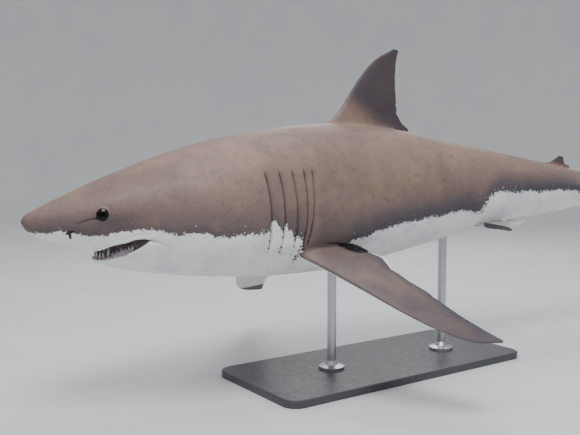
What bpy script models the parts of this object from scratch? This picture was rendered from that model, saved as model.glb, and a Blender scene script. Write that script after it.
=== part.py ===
"""A great white shark as a still, life-size display model on a plain stand.

Frame: metres, +Z up, nose toward -X, the shark's left side toward -Y. The
origin is the middle of the stand's underside.

The body is laid out in "body units" (s, y, z): s runs from the snout tip along
the spine, y is the distance to the shark's right, z the height above the
spine, all in hundredths of the total length. place() bends them round the
spine and turns them into metres.
"""

import math

import bmesh
import bpy
import numpy as np
from mathutils import Euler, Matrix, Vector

# ---------------------------------------------------------------- sizes
TOTAL_LENGTH = 3.5
UNIT = TOTAL_LENGTH / 100.0
GAP = 0.0003                      # clearance between touching pieces, metres
GAP_UNITS = GAP / UNIT

# Pose on the stand.
SPINE_HEIGHT = 0.76               # spine above the floor at the balance point
BALANCE_STATION = 43.0
NOSE_DOWN = math.radians(2.33)
BANK = math.radians(-1.6)

# Spine direction at stations: swing toward the shark's left, and rise.
SPINE_SWING = ((5, -6.4), (25, 0.0), (45, -3.0), (60, -9.8), (80, -11.1))
SPINE_RISE = ((5, -1.8), (25, 0.2), (45, -0.3), (60, -2.7), (80, -3.1))

# Body outline: height of the back and belly, half width, height of the widest line.
BACK = ((0, 0.0), (0.35, 0.5), (1.2, 1.0), (2.5, 1.62), (4, 2.3), (6.6, 3.42), (10, 4.72),
        (15, 6.3), (20, 7.45), (26, 8.25), (31, 8.75), (36, 8.9), (42, 8.45), (47, 7.75),
        (51, 6.8), (60, 5.3), (65, 4.5), (73, 3.15), (80, 1.95), (84, 1.65), (90, 1.1))
BELLY = ((0, 0.0), (0.35, -0.9), (1.2, -1.45), (2.5, -1.98), (4, -2.45), (5.9, -2.98),
         (6.6, -3.35), (7.0, -4.2), (7.5, -4.6), (8.3, -4.93), (10, -5.42), (15, -6.45), (20, -7.22),
         (26, -7.92), (33, -8.2), (40, -7.8), (50, -6.65), (56, -5.6), (65, -4.25),
         (74, -3.1), (80, -1.95), (84, -1.65), (90, -1.1))
HALF_WIDTH = ((0, 0.0), (0.35, 0.8), (1.2, 1.55), (2.5, 2.35), (4, 3.05), (6.7, 4.0),
              (10, 5.0), (15, 6.3), (20, 7.4), (26, 8.05), (34, 8.25), (42, 7.7),
              (50, 6.6), (58, 5.2), (66, 3.7), (73, 2.5), (80, 1.45), (84, 1.2), (90, 0.6))
WIDEST_HEIGHT = ((0, -0.05), (6, 0.1), (12, -0.1), (26, -0.3), (45, 0.2), (60, 0.3), (84, 0.0))
LOWER_FULLNESS = ((0, 2.0), (4, 2.3), (12, 2.2), (26, 2.15), (60, 2.0), (90, 2.0))
KEEL_WIDTH = ((66, 0.0), (71, 0.25), (76, 1.0), (80, 1.65), (84, 1.75), (87, 1.15), (91, 0.0))

# Where the body is parted.
GILL_FRONT = 21.2
GILL_BACK = 29.0
TRUNK_BACK = 61.5
STALK_BACK = 83.6
TAIL_TIP_ROOT = 89.5
SPINE_END = 104.0
RING_COUNT = 32
TRUNK_SPACING = 2.9
STALK_SPACING = 2.4
KEEL_SHARPNESS = 14

# Gills: each slit's station at the spine's height and how far it leans back per unit of height.
GILL_SLITS = ((22.4, 0.0), (23.9, 0.02), (25.4, 0.02), (26.65, 0.07), (27.45, 0.13))
GILL_TOP = 3.9
GILL_BOTTOM = -4.2
GILL_DEPTH = 0.35
GILL_SLOT = 0.16

# Mouth: side lines of the lips, and the curve that each tooth row follows.
MOUTH_CORNER = (10.75, -2.15)
UPPER_LIP = ((5.2, -3.02), (6.6, -3.05), (7.1, -2.8), (7.8, -2.52), (8.9, -2.3),
             (9.65, -2.05), (10.3, -2.03), MOUTH_CORNER)
LOWER_LIP = ((6.3, -4.35), (7.4, -4.3), (8.0, -3.85), (8.75, -3.5), (9.5, -3.12),
             (10.15, -2.7), MOUTH_CORNER)
THROAT_CUT_FOOT = (14.4, -8.5)
MOUTH_BLOCK_HALF = 14.0           # half width of the block that parts jaw and head
MOUTH_BLOCK_AHEAD = 2.0           # how far that block starts in front of the lip
CHIN_SWEEP = 0.75                 # how far the sides of the chin lie behind its middle
CHIN_STATION = 6.6
CHIN_LENGTH = 4.6
CHIN_HALF_WIDTH = 3.5
MOUTH_CENTRE = (9.7, 0.0, -3.15)
MOUTH_RADII = (2.7, 3.1, 1.15)
ROW_REACH = 2.75                  # stations from the front of a tooth row to its ends
UPPER_ROW = {"lip": UPPER_LIP, "front": 6.95, "spread": 3.7, "teeth": 22,
             "up": -1, "gum": 0.0, "show": 0.4}
LOWER_ROW = {"lip": LOWER_LIP, "front": 7.25, "spread": 3.6, "teeth": 20,
             "up": 1, "gum": 0.45, "show": 0.8}
GUM_THICKNESS = 0.42
GUM_PROFILE = ((-1, -0.4), (1, -0.4), (0.75, 0.7), (0.3, 1.0), (-0.3, 1.0), (-0.75, 0.7))
GUM_REACH = 0.94                  # share of the row that the gum follows
GUM_RINGS = 11
TOOTH_ROOT = 0.35
TOOTH_THICKNESS = 0.1
TOOTH_WIDTH = 0.41                # half width as a share of the room each tooth has
TOOTH_TAPER = 0.6                 # how much narrower the last tooth is than the first
TOOTH_FACES = ((0, 1, 3, 2), (0, 2, 4), (1, 5, 3), (0, 4, 5, 1), (2, 3, 5, 4))

# Eyes and nostrils.
EYE_STATION = 6.75
EYE_HEIGHT = 0.5
EYE_RADIUS = 0.74
EYE_DEPTH_RADIUS = 0.38
EYE_SINK = 0.25
EYE_DETAIL = (14, 6)
NOSTRIL = (3.9, -1.25)
NOSTRIL_RADII = (0.42, 0.22, 0.14)
NOSTRIL_DETAIL = (8, 4)
NOSTRIL_TILT = 0.5

# Stand.
BASE_SIZE = (1.30, 0.56, 0.030)
BASE_CORNER = 0.06
BASE_BEVEL = 0.006
ROD_STATIONS = (35.5, 53.5)
ROD_RADIUS = 0.019
ROD_FOOT_RADIUS = 0.055
ROD_FOOT_HEIGHT = 0.012
ROD_COLLAR_RADIUS = 0.0285
ROD_COLLAR_HEIGHT = 0.0192
ROD_SHANK_HEIGHT = 0.036
ROD_SIDES = 24
ROD_SINK = 0.05                   # how far a rod runs up before the belly trims it


# ---------------------------------------------------------------- curves
def curve(table):
    """Return a smooth function through (x, value) pairs that never overshoots them."""
    xs = np.array([p[0] for p in table], float)
    ys = np.array([p[1] for p in table], float)
    step = np.diff(xs)
    slope = np.diff(ys) / step
    tangent = np.zeros_like(xs)
    for i in range(1, len(xs) - 1):
        if slope[i - 1] * slope[i] > 0:
            w1 = 2 * step[i] + step[i - 1]
            w2 = step[i] + 2 * step[i - 1]
            tangent[i] = (w1 + w2) / (w1 / slope[i - 1] + w2 / slope[i])
    tangent[0] = slope[0]
    tangent[-1] = slope[-1]

    def value(x):
        x = min(max(x, xs[0]), xs[-1])
        i = min(int(np.searchsorted(xs, x, side="right")) - 1, len(step) - 1)
        t = (x - xs[i]) / step[i]
        h = step[i]
        return float(
            ys[i] * (1 + 2 * t) * (1 - t) ** 2
            + tangent[i] * h * t * (1 - t) ** 2
            + ys[i + 1] * t * t * (3 - 2 * t)
            + tangent[i + 1] * h * t * t * (t - 1)
        )

    return value


back = curve(BACK)
belly = curve(BELLY)
half_width = curve(HALF_WIDTH)
widest_height = curve(WIDEST_HEIGHT)
lower_fullness = curve(LOWER_FULLNESS)
keel_width = curve(KEEL_WIDTH)
spine_swing = curve(SPINE_SWING)
spine_rise = curve(SPINE_RISE)


# ---------------------------------------------------------------- spine
def spine_samples():
    """Walk down the spine in small steps and list its stations and points."""
    stations = np.linspace(0.0, SPINE_END, 521)
    points = [Vector((0.0, 0.0, 0.0))]
    for a, b in zip(stations[:-1], stations[1:]):
        points.append(points[-1] + spine_axes((a + b) / 2)[0] * (b - a))
    return stations, np.array(points)


def spine_axes(s):
    """Return the spine's direction, the shark's right and its up at a station."""
    swing = math.radians(spine_swing(s))
    rise = math.radians(spine_rise(s))
    along = Vector((math.cos(swing) * math.cos(rise), math.sin(swing) * math.cos(rise), math.sin(rise)))
    right = Vector((-math.sin(swing), math.cos(swing), 0.0))
    return along, right, along.cross(right)


SPINE_S, SPINE_P = spine_samples()


def spine_point(s):
    """Return the spine's point at a station, in body units."""
    return Vector([float(np.interp(s, SPINE_S, SPINE_P[:, k])) for k in range(3)])


BALANCE_POINT = spine_point(BALANCE_STATION)


def place(s, y, z):
    """Turn body units into metres in the shark's own frame."""
    s_on = min(max(s, 0.0), SPINE_END)
    along, right, up = spine_axes(s_on)
    point = spine_point(s_on) + along * (s - s_on) + right * y + up * z
    return (point - BALANCE_POINT) * UNIT


# ---------------------------------------------------------------- meshes
def new_object(name, mesh, parent=None):
    """Link a mesh as an object under an optional parent."""
    obj = bpy.data.objects.new(name, mesh)
    bpy.context.scene.collection.objects.link(obj)
    obj.parent = parent
    return obj


def mesh_from(name, verts, faces, smooth=True):
    """Make a mesh of triangles from points and faces, facing out."""
    mesh = bpy.data.meshes.new(name)
    mesh.from_pydata([tuple(v) for v in verts], [], faces)
    work = bmesh.new()
    work.from_mesh(mesh)
    bmesh.ops.triangulate(work, faces=work.faces)
    bmesh.ops.recalc_face_normals(work, faces=work.faces)
    for face in work.faces:
        face.smooth = smooth
    work.to_mesh(mesh)
    work.free()
    return mesh


def loft(name, rings, parent=None, point_start=None):
    """Skin a closed body over rings of equal count; flat caps, or a point at the start."""
    count = len(rings[0])
    verts = [p for ring in rings for p in ring]
    faces = []
    for r in range(len(rings) - 1):
        a = r * count
        b = a + count
        for k in range(count):
            n = (k + 1) % count
            faces.append((a + k, a + n, b + n, b + k))
    if point_start is None:
        faces.append(tuple(range(count)))
    else:
        verts.append(point_start)
        tip = len(verts) - 1
        faces.extend((tip, (k + 1) % count, k) for k in range(count))
    last = (len(rings) - 1) * count
    faces.append(tuple(range(last + count - 1, last - 1, -1)))
    return new_object(name, mesh_from(name, verts, faces), parent)


def cutter(obj):
    """Mark an object as a tool that shapes others and isn't part of the model."""
    obj.hide_render = True
    obj.display_type = 'WIRE'
    return obj


def boolean(obj, tool, operation='DIFFERENCE'):
    """Add an exact Boolean modifier."""
    mod = obj.modifiers.new(operation.lower(), 'BOOLEAN')
    mod.operation = operation
    mod.solver = 'EXACT'
    mod.object = tool
    return obj


def duplicate(obj, name):
    """Copy an object with its own mesh and modifiers."""
    twin = new_object(name, obj.data.copy(), obj.parent)
    for mod in obj.modifiers:
        boolean(twin, mod.object, mod.operation)
    return twin


# ---------------------------------------------------------------- body sections
def signed_power(value, power):
    """Raise a value's size to a power and keep its sign."""
    return math.copysign(abs(value) ** power, value)


def chin_sweep(s, y, down):
    """Return how far the underside's ring points lie behind the ring's station."""
    reach = max(0.0, 1.0 - abs(s - CHIN_STATION) / CHIN_LENGTH)
    side = min(abs(y) / CHIN_HALF_WIDTH, 1.3)
    return CHIN_SWEEP * reach * side * side * down


def section_point(s, angle, grow=0.0):
    """Return the skin's point at a station and an angle from the back, in body units."""
    out = math.sin(angle)
    up = math.cos(angle)
    mid = widest_height(s)
    power = 1.0 if up > 0 else 2.0 / lower_fullness(s)
    half = half_width(s) + grow
    y = half * signed_power(out, power)
    y += keel_width(s) * signed_power(out, KEEL_SHARPNESS)
    reach = (back(s) + grow - mid) if up > 0 else (mid - belly(s) + grow)
    z = mid + reach * signed_power(up, power)
    return (s + chin_sweep(s, y, max(0.0, -up)), y, z)


def body_ring(s, grow=0.0, pinch=None):
    """Return one ring of the body as placed points; pinch moves each point inward."""
    ring = []
    for k in range(RING_COUNT):
        angle = 2 * math.pi * k / RING_COUNT
        station, y, z = section_point(s, angle, grow)
        if pinch:
            station, y, z = pinch(station, y, z)
        ring.append(place(station, y, z))
    return ring


def stations_between(first, last, spacing):
    """Return evenly spread stations from first to last."""
    steps = max(1, round((last - first) / spacing))
    return [first + (last - first) * i / steps for i in range(steps + 1)]


HEAD_STATIONS = [0.12, 0.5, 1.2, 2.2, 3.3, 4.5, 5.7, 6.4, 6.9, 7.3, 8.0, 9.0, 10.2, 11.6, 13.2, 15, 17, 19]


# ---------------------------------------------------------------- head and jaw
def head_loft(name, parent):
    """Loft the whole head, jaw included, from the snout to the first gill slit."""
    rings = [body_ring(s) for s in HEAD_STATIONS + [GILL_FRONT - GAP_UNITS / 2]]
    return loft(name, rings, parent, point_start=place(0, 0, 0))


def side_prism(name, outline, parent):
    """Extrude a side outline of (s, z) points across the head."""
    left = [place(s, -MOUTH_BLOCK_HALF, z) for s, z in outline]
    right = [place(s, MOUTH_BLOCK_HALF, z) for s, z in outline]
    return cutter(loft(name, [left, right], parent))


def jaw_outline(lip, foot):
    """Return the side outline of everything below a lip line and in front of the throat."""
    front = lip[0][0] - MOUTH_BLOCK_AHEAD
    return (*lip, foot, (front, foot[1]), (front, lip[0][1]))


def ellipsoid(name, centre, radii, parent, turn=None, detail=(16, 8)):
    """Make an ellipsoid at a placed centre, with its axes along the spine frame."""
    mesh = bpy.data.meshes.new(name)
    work = bmesh.new()
    bmesh.ops.create_uvsphere(work, u_segments=detail[0], v_segments=detail[1], radius=1.0)
    along, right, up = spine_axes(centre[0])
    axes = Matrix((along, right, up)).transposed()
    if turn is not None:
        axes = axes @ turn
    for vert in work.verts:
        scaled = Vector([vert.co[k] * radii[k] * UNIT for k in range(3)])
        vert.co = place(*centre) + axes @ scaled
    bmesh.ops.triangulate(work, faces=work.faces)
    for face in work.faces:
        face.smooth = True
    work.to_mesh(mesh)
    work.free()
    return new_object(name, mesh, parent)


def skin_normal(s, angle):
    """Return the skin's outward direction at a station and angle, in spine axes."""
    a = Vector(section_point(s + 0.2, angle)) - Vector(section_point(s - 0.2, angle))
    b = Vector(section_point(s, angle + 0.05)) - Vector(section_point(s, angle - 0.05))
    normal = a.cross(b).normalized()
    centre = Vector((s, 0.0, widest_height(s)))
    if normal.dot(Vector(section_point(s, angle)) - centre) < 0:
        normal = -normal
    return normal


def angle_at_height(s, height, side):
    """Return the section angle where the skin of one side reaches a height."""
    low = 0.05
    high = math.pi - 0.05
    for _ in range(40):
        middle = (low + high) / 2
        if section_point(s, middle)[2] > height:
            low = middle
        else:
            high = middle
    return side * low


def sunken(name, s, height, side, radii, sink, parent, detail, grow=0.0, tilt=0.0):
    """Set an ellipsoid into the skin, its third axis along the skin's normal."""
    angle = angle_at_height(s, height, side)
    normal = skin_normal(s, angle)
    centre = Vector(section_point(s, angle)) - normal * sink
    across = Vector((math.cos(tilt), 0.0, -math.sin(tilt)))
    across = (across - normal * across.dot(normal)).normalized()
    turn = Matrix((across, normal.cross(across), normal)).transposed()
    sizes = [r + grow for r in radii]
    return ellipsoid(name, tuple(centre), sizes, parent, turn, detail)


def make_eye(name, side, parent, grow=0.0):
    """Make one eyeball, or with grow its socket."""
    radii = (EYE_RADIUS, EYE_RADIUS, EYE_DEPTH_RADIUS)
    return sunken(name, EYE_STATION, EYE_HEIGHT, side, radii, EYE_SINK, parent, EYE_DETAIL, grow)


def make_nostril_cut(name, side, parent):
    """Make the tool that opens one nostril."""
    tool = sunken(name, *NOSTRIL, side, NOSTRIL_RADII, 0.0, parent, NOSTRIL_DETAIL, 0.0, NOSTRIL_TILT)
    return cutter(tool)


def row_point(row, t):
    """Return the point of a tooth row's parabola at t from -1 to 1, on its lip line."""
    s = row["front"] + ROW_REACH * t * t
    return Vector((s, row["spread"] * t, curve(row["lip"])(s)))


def row_direction(row, t):
    """Return the direction along a tooth row at t."""
    return Vector((2 * ROW_REACH * t, row["spread"], 0.0)).normalized()


def tooth_places(row):
    """Return (t, width) for each tooth; teeth shrink from the middle of the row to its ends."""
    steps = np.linspace(0, 1, 101)
    samples = [row_point(row, t) for t in steps]
    run = [0.0]
    for a, b in zip(samples[:-1], samples[1:]):
        run.append(run[-1] + (b.xy - a.xy).length)
    half = row["teeth"] // 2
    widths = [1.0 - TOOTH_TAPER * i / half for i in range(half)]
    unit = run[-1] / sum(widths)
    places = []
    start = 0.0
    for width in widths:
        t = float(np.interp(start + width * unit / 2, run, steps))
        start += width * unit
        places.extend([(t, width * unit), (-t, width * unit)])
    return places


def gum_height(row, t):
    """Return how far a jaw's gum stands proud of its lip line."""
    return row["gum"] * (1 - 0.8 * t * t)


def tooth_row(name, row, parent):
    """Make a jaw's row of flat triangular teeth."""
    verts = []
    faces = []
    widest = max(width for _, width in tooth_places(row))
    for t, width in tooth_places(row):
        along = row_direction(row, t)
        outward = Vector((-along.y, along.x, 0.0))
        lift = Vector((0.0, 0.0, row["up"]))
        gum = row_point(row, t) + lift * gum_height(row, t)
        crown = gum + lift * row["show"] * width / widest
        start = len(verts)
        for side in (-1, 1):
            for depth in (-TOOTH_THICKNESS, TOOTH_THICKNESS):
                root = gum - lift * TOOTH_ROOT
                verts.append(place(*(root + along * width * TOOTH_WIDTH * side + outward * depth)))
        for depth in (-TOOTH_THICKNESS / 4, TOOTH_THICKNESS / 4):
            verts.append(place(*(crown + outward * depth)))
        faces.extend(tuple(start + k for k in face) for face in TOOTH_FACES)
    return cutter(new_object(name, mesh_from(name, verts, faces, smooth=False), parent))


def gum_ridge(name, row, parent):
    """Make the ridge of gum that a tooth row grows from."""
    rings = []
    for t in np.linspace(-GUM_REACH, GUM_REACH, GUM_RINGS):
        along = row_direction(row, t)
        outward = Vector((-along.y, along.x, 0.0))
        centre = row_point(row, t)
        ring = []
        for side, height in GUM_PROFILE:
            tall = gum_height(row, t) if height > 0 else 1.0
            lift = Vector((0.0, 0.0, row["up"] * height * tall))
            ring.append(place(*(centre + outward * side * GUM_THICKNESS + lift)))
        rings.append(ring)
    return cutter(loft(name, rings, parent))


def make_head(parent):
    """Make the head with its mouth, eye sockets, nostrils and upper teeth."""
    head = head_loft("head", parent)
    outline = jaw_outline(UPPER_LIP, THROAT_CUT_FOOT)
    boolean(head, side_prism("jaw_room", outline, parent))
    mouth = cutter(ellipsoid("mouth_room", MOUTH_CENTRE, MOUTH_RADII, parent))
    boolean(head, mouth)
    boolean(head, tooth_row("upper_teeth", UPPER_ROW, parent), 'UNION')
    for side in (-1, 1):
        boolean(head, cutter(make_eye(f"socket_{side}", side, parent, GAP_UNITS)))
        boolean(head, make_nostril_cut(f"nostril_{side}", side, parent))
    return head, mouth


def make_lower_jaw(parent, mouth):
    """Make the lower jaw, cut from the same head, with its gum and teeth."""
    jaw = head_loft("lower_jaw", parent)
    lip = [(s, z - GAP_UNITS) for s, z in LOWER_LIP]
    foot = (THROAT_CUT_FOOT[0] - 2 * GAP_UNITS, THROAT_CUT_FOOT[1])
    outline = jaw_outline(lip, foot)
    boolean(jaw, side_prism("jaw_block", outline, parent), 'INTERSECT')
    boolean(jaw, mouth)
    boolean(jaw, gum_ridge("lower_gum", LOWER_ROW, parent), 'UNION')
    return boolean(jaw, tooth_row("lower_teeth", LOWER_ROW, parent), 'UNION')


# ---------------------------------------------------------------- trunk and tail
def slit_reach(z):
    """Return how far a height lies from the middle of the slits, 1 at their ends."""
    middle = (GILL_TOP + GILL_BOTTOM) / 2
    return (z - middle) / (GILL_TOP - middle)


def gill_ring(slit, offset, cut):
    """Return a body ring that follows one slit, sunk into it where cut is set."""
    base, lean = slit

    def follow(station, y, z):
        moved = base + offset + lean * min(max(z, GILL_BOTTOM), GILL_TOP)
        y, z = carried(moved, y, z, station)
        if cut and abs(slit_reach(z)) < 1:
            depth = GILL_DEPTH * (1 - slit_reach(z) ** 4)
            y -= math.copysign(depth, y)
        return moved, y, z

    return body_ring(base + offset, 0.0, follow)


def carried(s, y, z, source):
    """Carry a skin point of one station to another, keeping its place in the section."""
    across = half_width(s) / half_width(source)
    mid_from = widest_height(source)
    mid_to = widest_height(s)
    rise = (back(s) - mid_to) / (back(source) - mid_from)
    fall = (mid_to - belly(s)) / (mid_from - belly(source))
    scale = rise if z > mid_from else fall
    return y * across, mid_to + (z - mid_from) * scale


def make_gill_region(parent):
    """Make the length of body with the five gill slits cut in each side."""
    rings = [body_ring(GILL_FRONT + GAP_UNITS / 2)]
    for slit in GILL_SLITS:
        rings.append(gill_ring(slit, -GILL_SLOT / 2, False))
        rings.append(gill_ring(slit, 0.0, True))
        rings.append(gill_ring(slit, GILL_SLOT / 2, False))
    rings.append(body_ring(GILL_BACK - GAP_UNITS / 2))
    return loft("gill_region", rings, parent)


def make_trunk(parent):
    """Make the trunk, from the last gill slit to the pelvic fins."""
    first = GILL_BACK + GAP_UNITS / 2
    last = TRUNK_BACK - GAP_UNITS / 2
    return loft("trunk", [body_ring(s) for s in stations_between(first, last, TRUNK_SPACING)], parent)


def make_tail_stalk(parent):
    """Make the tapering tail stalk with its side keels."""
    first = TRUNK_BACK + GAP_UNITS / 2
    last = STALK_BACK - GAP_UNITS / 2
    return loft("tail_stalk", [body_ring(s) for s in stations_between(first, last, STALK_SPACING)], parent)


def whole_body(name, first, last, parent):
    """Make a plain loft of the body, grown a little, as a tool that trims what meets it."""
    rings = [body_ring(s, 2 * GAP_UNITS) for s in stations_between(first, last, 2.0)]
    return cutter(loft(name, rings, parent))


# ---------------------------------------------------------------- fins
def foil(chord_steps, thickness, edge):
    """Return (fraction of chord, half thickness) pairs of a round-nosed section."""
    pairs = []
    for k in range(chord_steps + 1):
        c = (1 - math.cos(math.pi * k / chord_steps)) / 2
        shape = 0.2969 * math.sqrt(c) - 0.126 * c - 0.3516 * c * c + 0.2843 * c ** 3 - 0.1015 * c ** 4
        pairs.append((c, max(5 * thickness * shape, edge * min(1.0, 8 * c))))
    return pairs


FIN_EDGE = 0.03                   # half thickness of every fin's thin edge, body units
CHORD_STEPS = 6


def fin_ring(lead, trail, thickness, to_place):
    """Return one section of a fin between its leading and trailing points."""
    lead = Vector(lead)
    trail = Vector(trail)
    pairs = foil(CHORD_STEPS, thickness, FIN_EDGE)
    path = [(c, h) for c, h in pairs] + [(c, -h) for c, h in reversed(pairs[1:])]
    ring = []
    for c, h in path:
        point = lead.lerp(trail, c)
        ring.append(to_place(point.x, point.y, h))
    return ring


def make_fin(name, lead, trail, thickness, spans, to_place, parent):
    """Loft a fin over its span; lead, trail and thickness are functions of the span."""
    rings = [fin_ring(lead(t), trail(t), thickness(t), to_place) for t in spans]
    return loft(name, rings, parent)


def edge_line(table):
    """Return a function from span to the (along, out) point of a fin's edge."""
    along = curve([(t, a) for t, a, _ in table])
    out = curve([(t, o) for t, _, o in table])
    return lambda t: (along(t), out(t))


def fin_spans(count, root=-0.12):
    """Return span fractions from just inside the body to the tip, closer at the tip."""
    return [root] + [math.sin(math.pi / 2 * i / count) for i in range(count + 1)]


def upright(s, z, h):
    """Place a point of a fin that stands on the body's middle plane."""
    return place(s, h, z)


# First dorsal fin: (span, station, height) of its two edges.
DORSAL_LEAD = ((-0.12, 34.9, 6.0), (0, 35.6, 8.4), (0.12, 37.3, 9.7), (0.3, 38.9, 11.9),
               (0.55, 40.9, 14.4), (0.8, 43.4, 16.6), (1, 46.2, 17.95))
DORSAL_TRAIL = ((-0.12, 45.6, 6.0), (0, 48.2, 7.75), (0.12, 47.0, 8.9), (0.3, 46.4, 11.0),
                (0.55, 46.3, 13.7), (0.8, 46.5, 16.0), (1, 46.95, 17.8))


def make_first_dorsal(parent, trimmer):
    """Make the tall first dorsal fin."""
    thickness = curve(((-0.12, 2.0), (0.1, 1.25), (1, 0.22)))
    fin = make_fin("first_dorsal_fin", edge_line(DORSAL_LEAD), edge_line(DORSAL_TRAIL),
                   thickness, fin_spans(9), upright, parent)
    return boolean(fin, trimmer)


SECOND_DORSAL_LEAD = ((-0.12, 72.0, 2.0), (0, 72.0, 2.9), (0.5, 73.0, 3.9), (1, 73.9, 4.5))
SECOND_DORSAL_TRAIL = ((-0.12, 73.6, 2.0), (0, 75.6, 2.9), (0.5, 74.4, 3.5), (1, 74.2, 4.4))


def make_second_dorsal(parent, trimmer):
    """Make the small second dorsal fin."""
    thickness = curve(((-0.12, 0.5), (0, 0.35), (1, 0.1)))
    fin = make_fin("second_dorsal_fin", edge_line(SECOND_DORSAL_LEAD), edge_line(SECOND_DORSAL_TRAIL),
                   thickness, fin_spans(4), upright, parent)
    return boolean(fin, trimmer)


ANAL_LEAD = ((-0.12, 77.2, -1.6), (0, 77.3, -2.4), (0.5, 78.5, -3.6), (1, 79.8, -4.5))
ANAL_TRAIL = ((-0.12, 79.0, -1.6), (0, 81.0, -2.3), (0.5, 80.2, -3.3), (1, 80.1, -4.4))


def make_anal_fin(parent, trimmer):
    """Make the small anal fin."""
    thickness = curve(((-0.12, 0.5), (0, 0.35), (1, 0.1)))
    fin = make_fin("anal_fin", edge_line(ANAL_LEAD), edge_line(ANAL_TRAIL),
                   thickness, fin_spans(4), upright, parent)
    return boolean(fin, trimmer)


def side_fin_placer(origin, droop, side):
    """Return a function that places a paired fin's (along, out, thickness) points.

    origin is the front of the fin's root on the left side; droop is how far
    below level the fin hangs.
    """
    along, right, up = spine_axes(origin[0] + 3.0)
    root = place(origin[0], side * abs(origin[1]), origin[2])
    outward = right * (side * math.cos(droop)) - up * math.sin(droop)
    normal = right * (side * math.sin(droop)) + up * math.cos(droop)

    def to_place(a, o, h):
        return root + (along * a + outward * o + normal * h) * UNIT

    return to_place


PECTORAL_ORIGIN = (27.0, -6.6, -5.4)
PECTORAL_DROOP = math.radians(28.6)
PECTORAL_LEAD = ((-0.12, -0.6, -2.4), (0, 0.0, 0.0), (0.15, 1.15, 2.8), (0.35, 2.8, 6.6),
                 (0.6, 4.75, 11.6), (0.8, 6.9, 15.2), (0.93, 9.4, 17.4), (1, 12.0, 18.1))
PECTORAL_TRAIL = ((-0.12, 6.0, -2.4), (0, 6.9, 0.1), (0.06, 8.6, 1.35), (0.15, 9.35, 2.9),
                  (0.35, 9.25, 6.2), (0.6, 9.95, 10.6), (0.8, 11.1, 14.3), (0.93, 11.9, 16.9),
                  (1, 12.35, 17.95))


def make_pectoral(name, side, parent, trimmer):
    """Make one long pectoral fin."""
    thickness = curve(((-0.12, 1.9), (0.1, 1.35), (0.5, 0.75), (1, 0.18)))
    placer = side_fin_placer(PECTORAL_ORIGIN, PECTORAL_DROOP, side)
    fin = make_fin(name, edge_line(PECTORAL_LEAD), edge_line(PECTORAL_TRAIL),
                   thickness, fin_spans(10), placer, parent)
    return boolean(fin, trimmer)


PELVIC_ORIGIN = (56.0, -3.1, -4.5)
PELVIC_DROOP = math.radians(24)
PELVIC_LEAD = ((-0.12, -0.3, -1.6), (0, 0.0, 0.0), (0.4, 1.7, 1.25), (0.75, 3.2, 2.2), (1, 4.4, 2.75))
PELVIC_TRAIL = ((-0.12, 4.4, -1.6), (0, 6.2, 0.0), (0.2, 6.5, 0.5), (0.5, 5.8, 1.4), (1, 4.9, 2.65))


def make_pelvic(name, side, parent, trimmer):
    """Make one small pelvic fin."""
    thickness = curve(((-0.12, 0.9), (0, 0.6), (1, 0.12)))
    placer = side_fin_placer(PELVIC_ORIGIN, PELVIC_DROOP, side)
    fin = make_fin(name, edge_line(PELVIC_LEAD), edge_line(PELVIC_TRAIL),
                   thickness, fin_spans(5), placer, parent)
    return boolean(fin, trimmer)


CLASPER_ROUTE = ((60.3, 1.5, -4.5), (62.5, 1.25, -4.85), (64.5, 1.1, -4.85), (66.2, 1.0, -4.65))
CLASPER_RADII = (0.42, 0.5, 0.45, 0.2)
CLASPER_SIDES = 10


def make_clasper(name, side, parent, trimmer, neighbour):
    """Make one clasper, a tapering finger behind the pelvic fin."""
    rings = []
    for (s, y, z), radius in zip(CLASPER_ROUTE, CLASPER_RADII):
        ring = []
        for k in range(CLASPER_SIDES):
            angle = 2 * math.pi * k / CLASPER_SIDES
            ring.append(place(s, side * y + radius * math.cos(angle), z + radius * math.sin(angle)))
        rings.append(ring)
    clasper = loft(name, rings, parent)
    boolean(clasper, trimmer)
    return boolean(clasper, neighbour)


# ---------------------------------------------------------------- tail fin
UPPER_LOBE_LEAD = ((-0.05, 82.6, -0.6), (0, 83.0, 0.6), (0.12, 84.6, 2.9), (0.35, 87.9, 6.6),
                   (0.6, 91.5, 10.2), (0.85, 95.6, 13.4), (1, 98.6, 15.1))
UPPER_LOBE_TRAIL = ((-0.05, 89.6, -0.6), (0, 89.8, 0.4), (0.12, 90.3, 2.2), (0.35, 92.0, 5.6),
                    (0.6, 94.5, 9.2), (0.76, 96.4, 11.3), (0.82, 97.6, 12.2), (0.9, 98.6, 13.6),
                    (1, 99.2, 15.0))
LOWER_LOBE_LEAD = ((-0.05, 82.8, 0.6), (0, 83.2, -0.6), (0.12, 84.4, -2.9), (0.35, 86.6, -6.6),
                   (0.6, 88.7, -9.9), (0.85, 90.7, -12.7), (1, 92.2, -14.3))
LOWER_LOBE_TRAIL = ((-0.05, 89.6, 0.6), (0, 89.8, -0.4), (0.12, 90.1, -2.3), (0.35, 90.7, -5.6),
                    (0.6, 91.5, -8.9), (0.85, 92.2, -12.2), (1, 92.5, -14.2))


STOCK_THINNING = 0.55             # how much narrower the fin's root is at the fork
TAIL_ROOM = (6, 20)               # half width and height of the blocks that trim the tail fin


def caudal_stock_ring(s):
    """Return a ring of the thick root of the tail fin, which thins toward its fork."""
    t = (s - STALK_BACK) / (TAIL_TIP_ROOT - STALK_BACK)
    ring = []
    for k in range(RING_COUNT):
        angle = 2 * math.pi * k / RING_COUNT
        _, y, z = section_point(s, angle)
        ring.append(place(s, y * (1 - STOCK_THINNING * t), z))
    return ring


def half_space(name, side, parent):
    """Make a block that covers the tail fin above or below the spine."""
    rings = []
    near = side * GAP_UNITS / 2
    far = side * TAIL_ROOM[1]
    wide = TAIL_ROOM[0]
    for s in stations_between(80.0, SPINE_END, 3.0):
        rings.append([place(s, y, z) for y, z in ((-wide, near), (wide, near), (wide, far), (-wide, far))])
    return cutter(loft(name, rings, parent))


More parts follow.
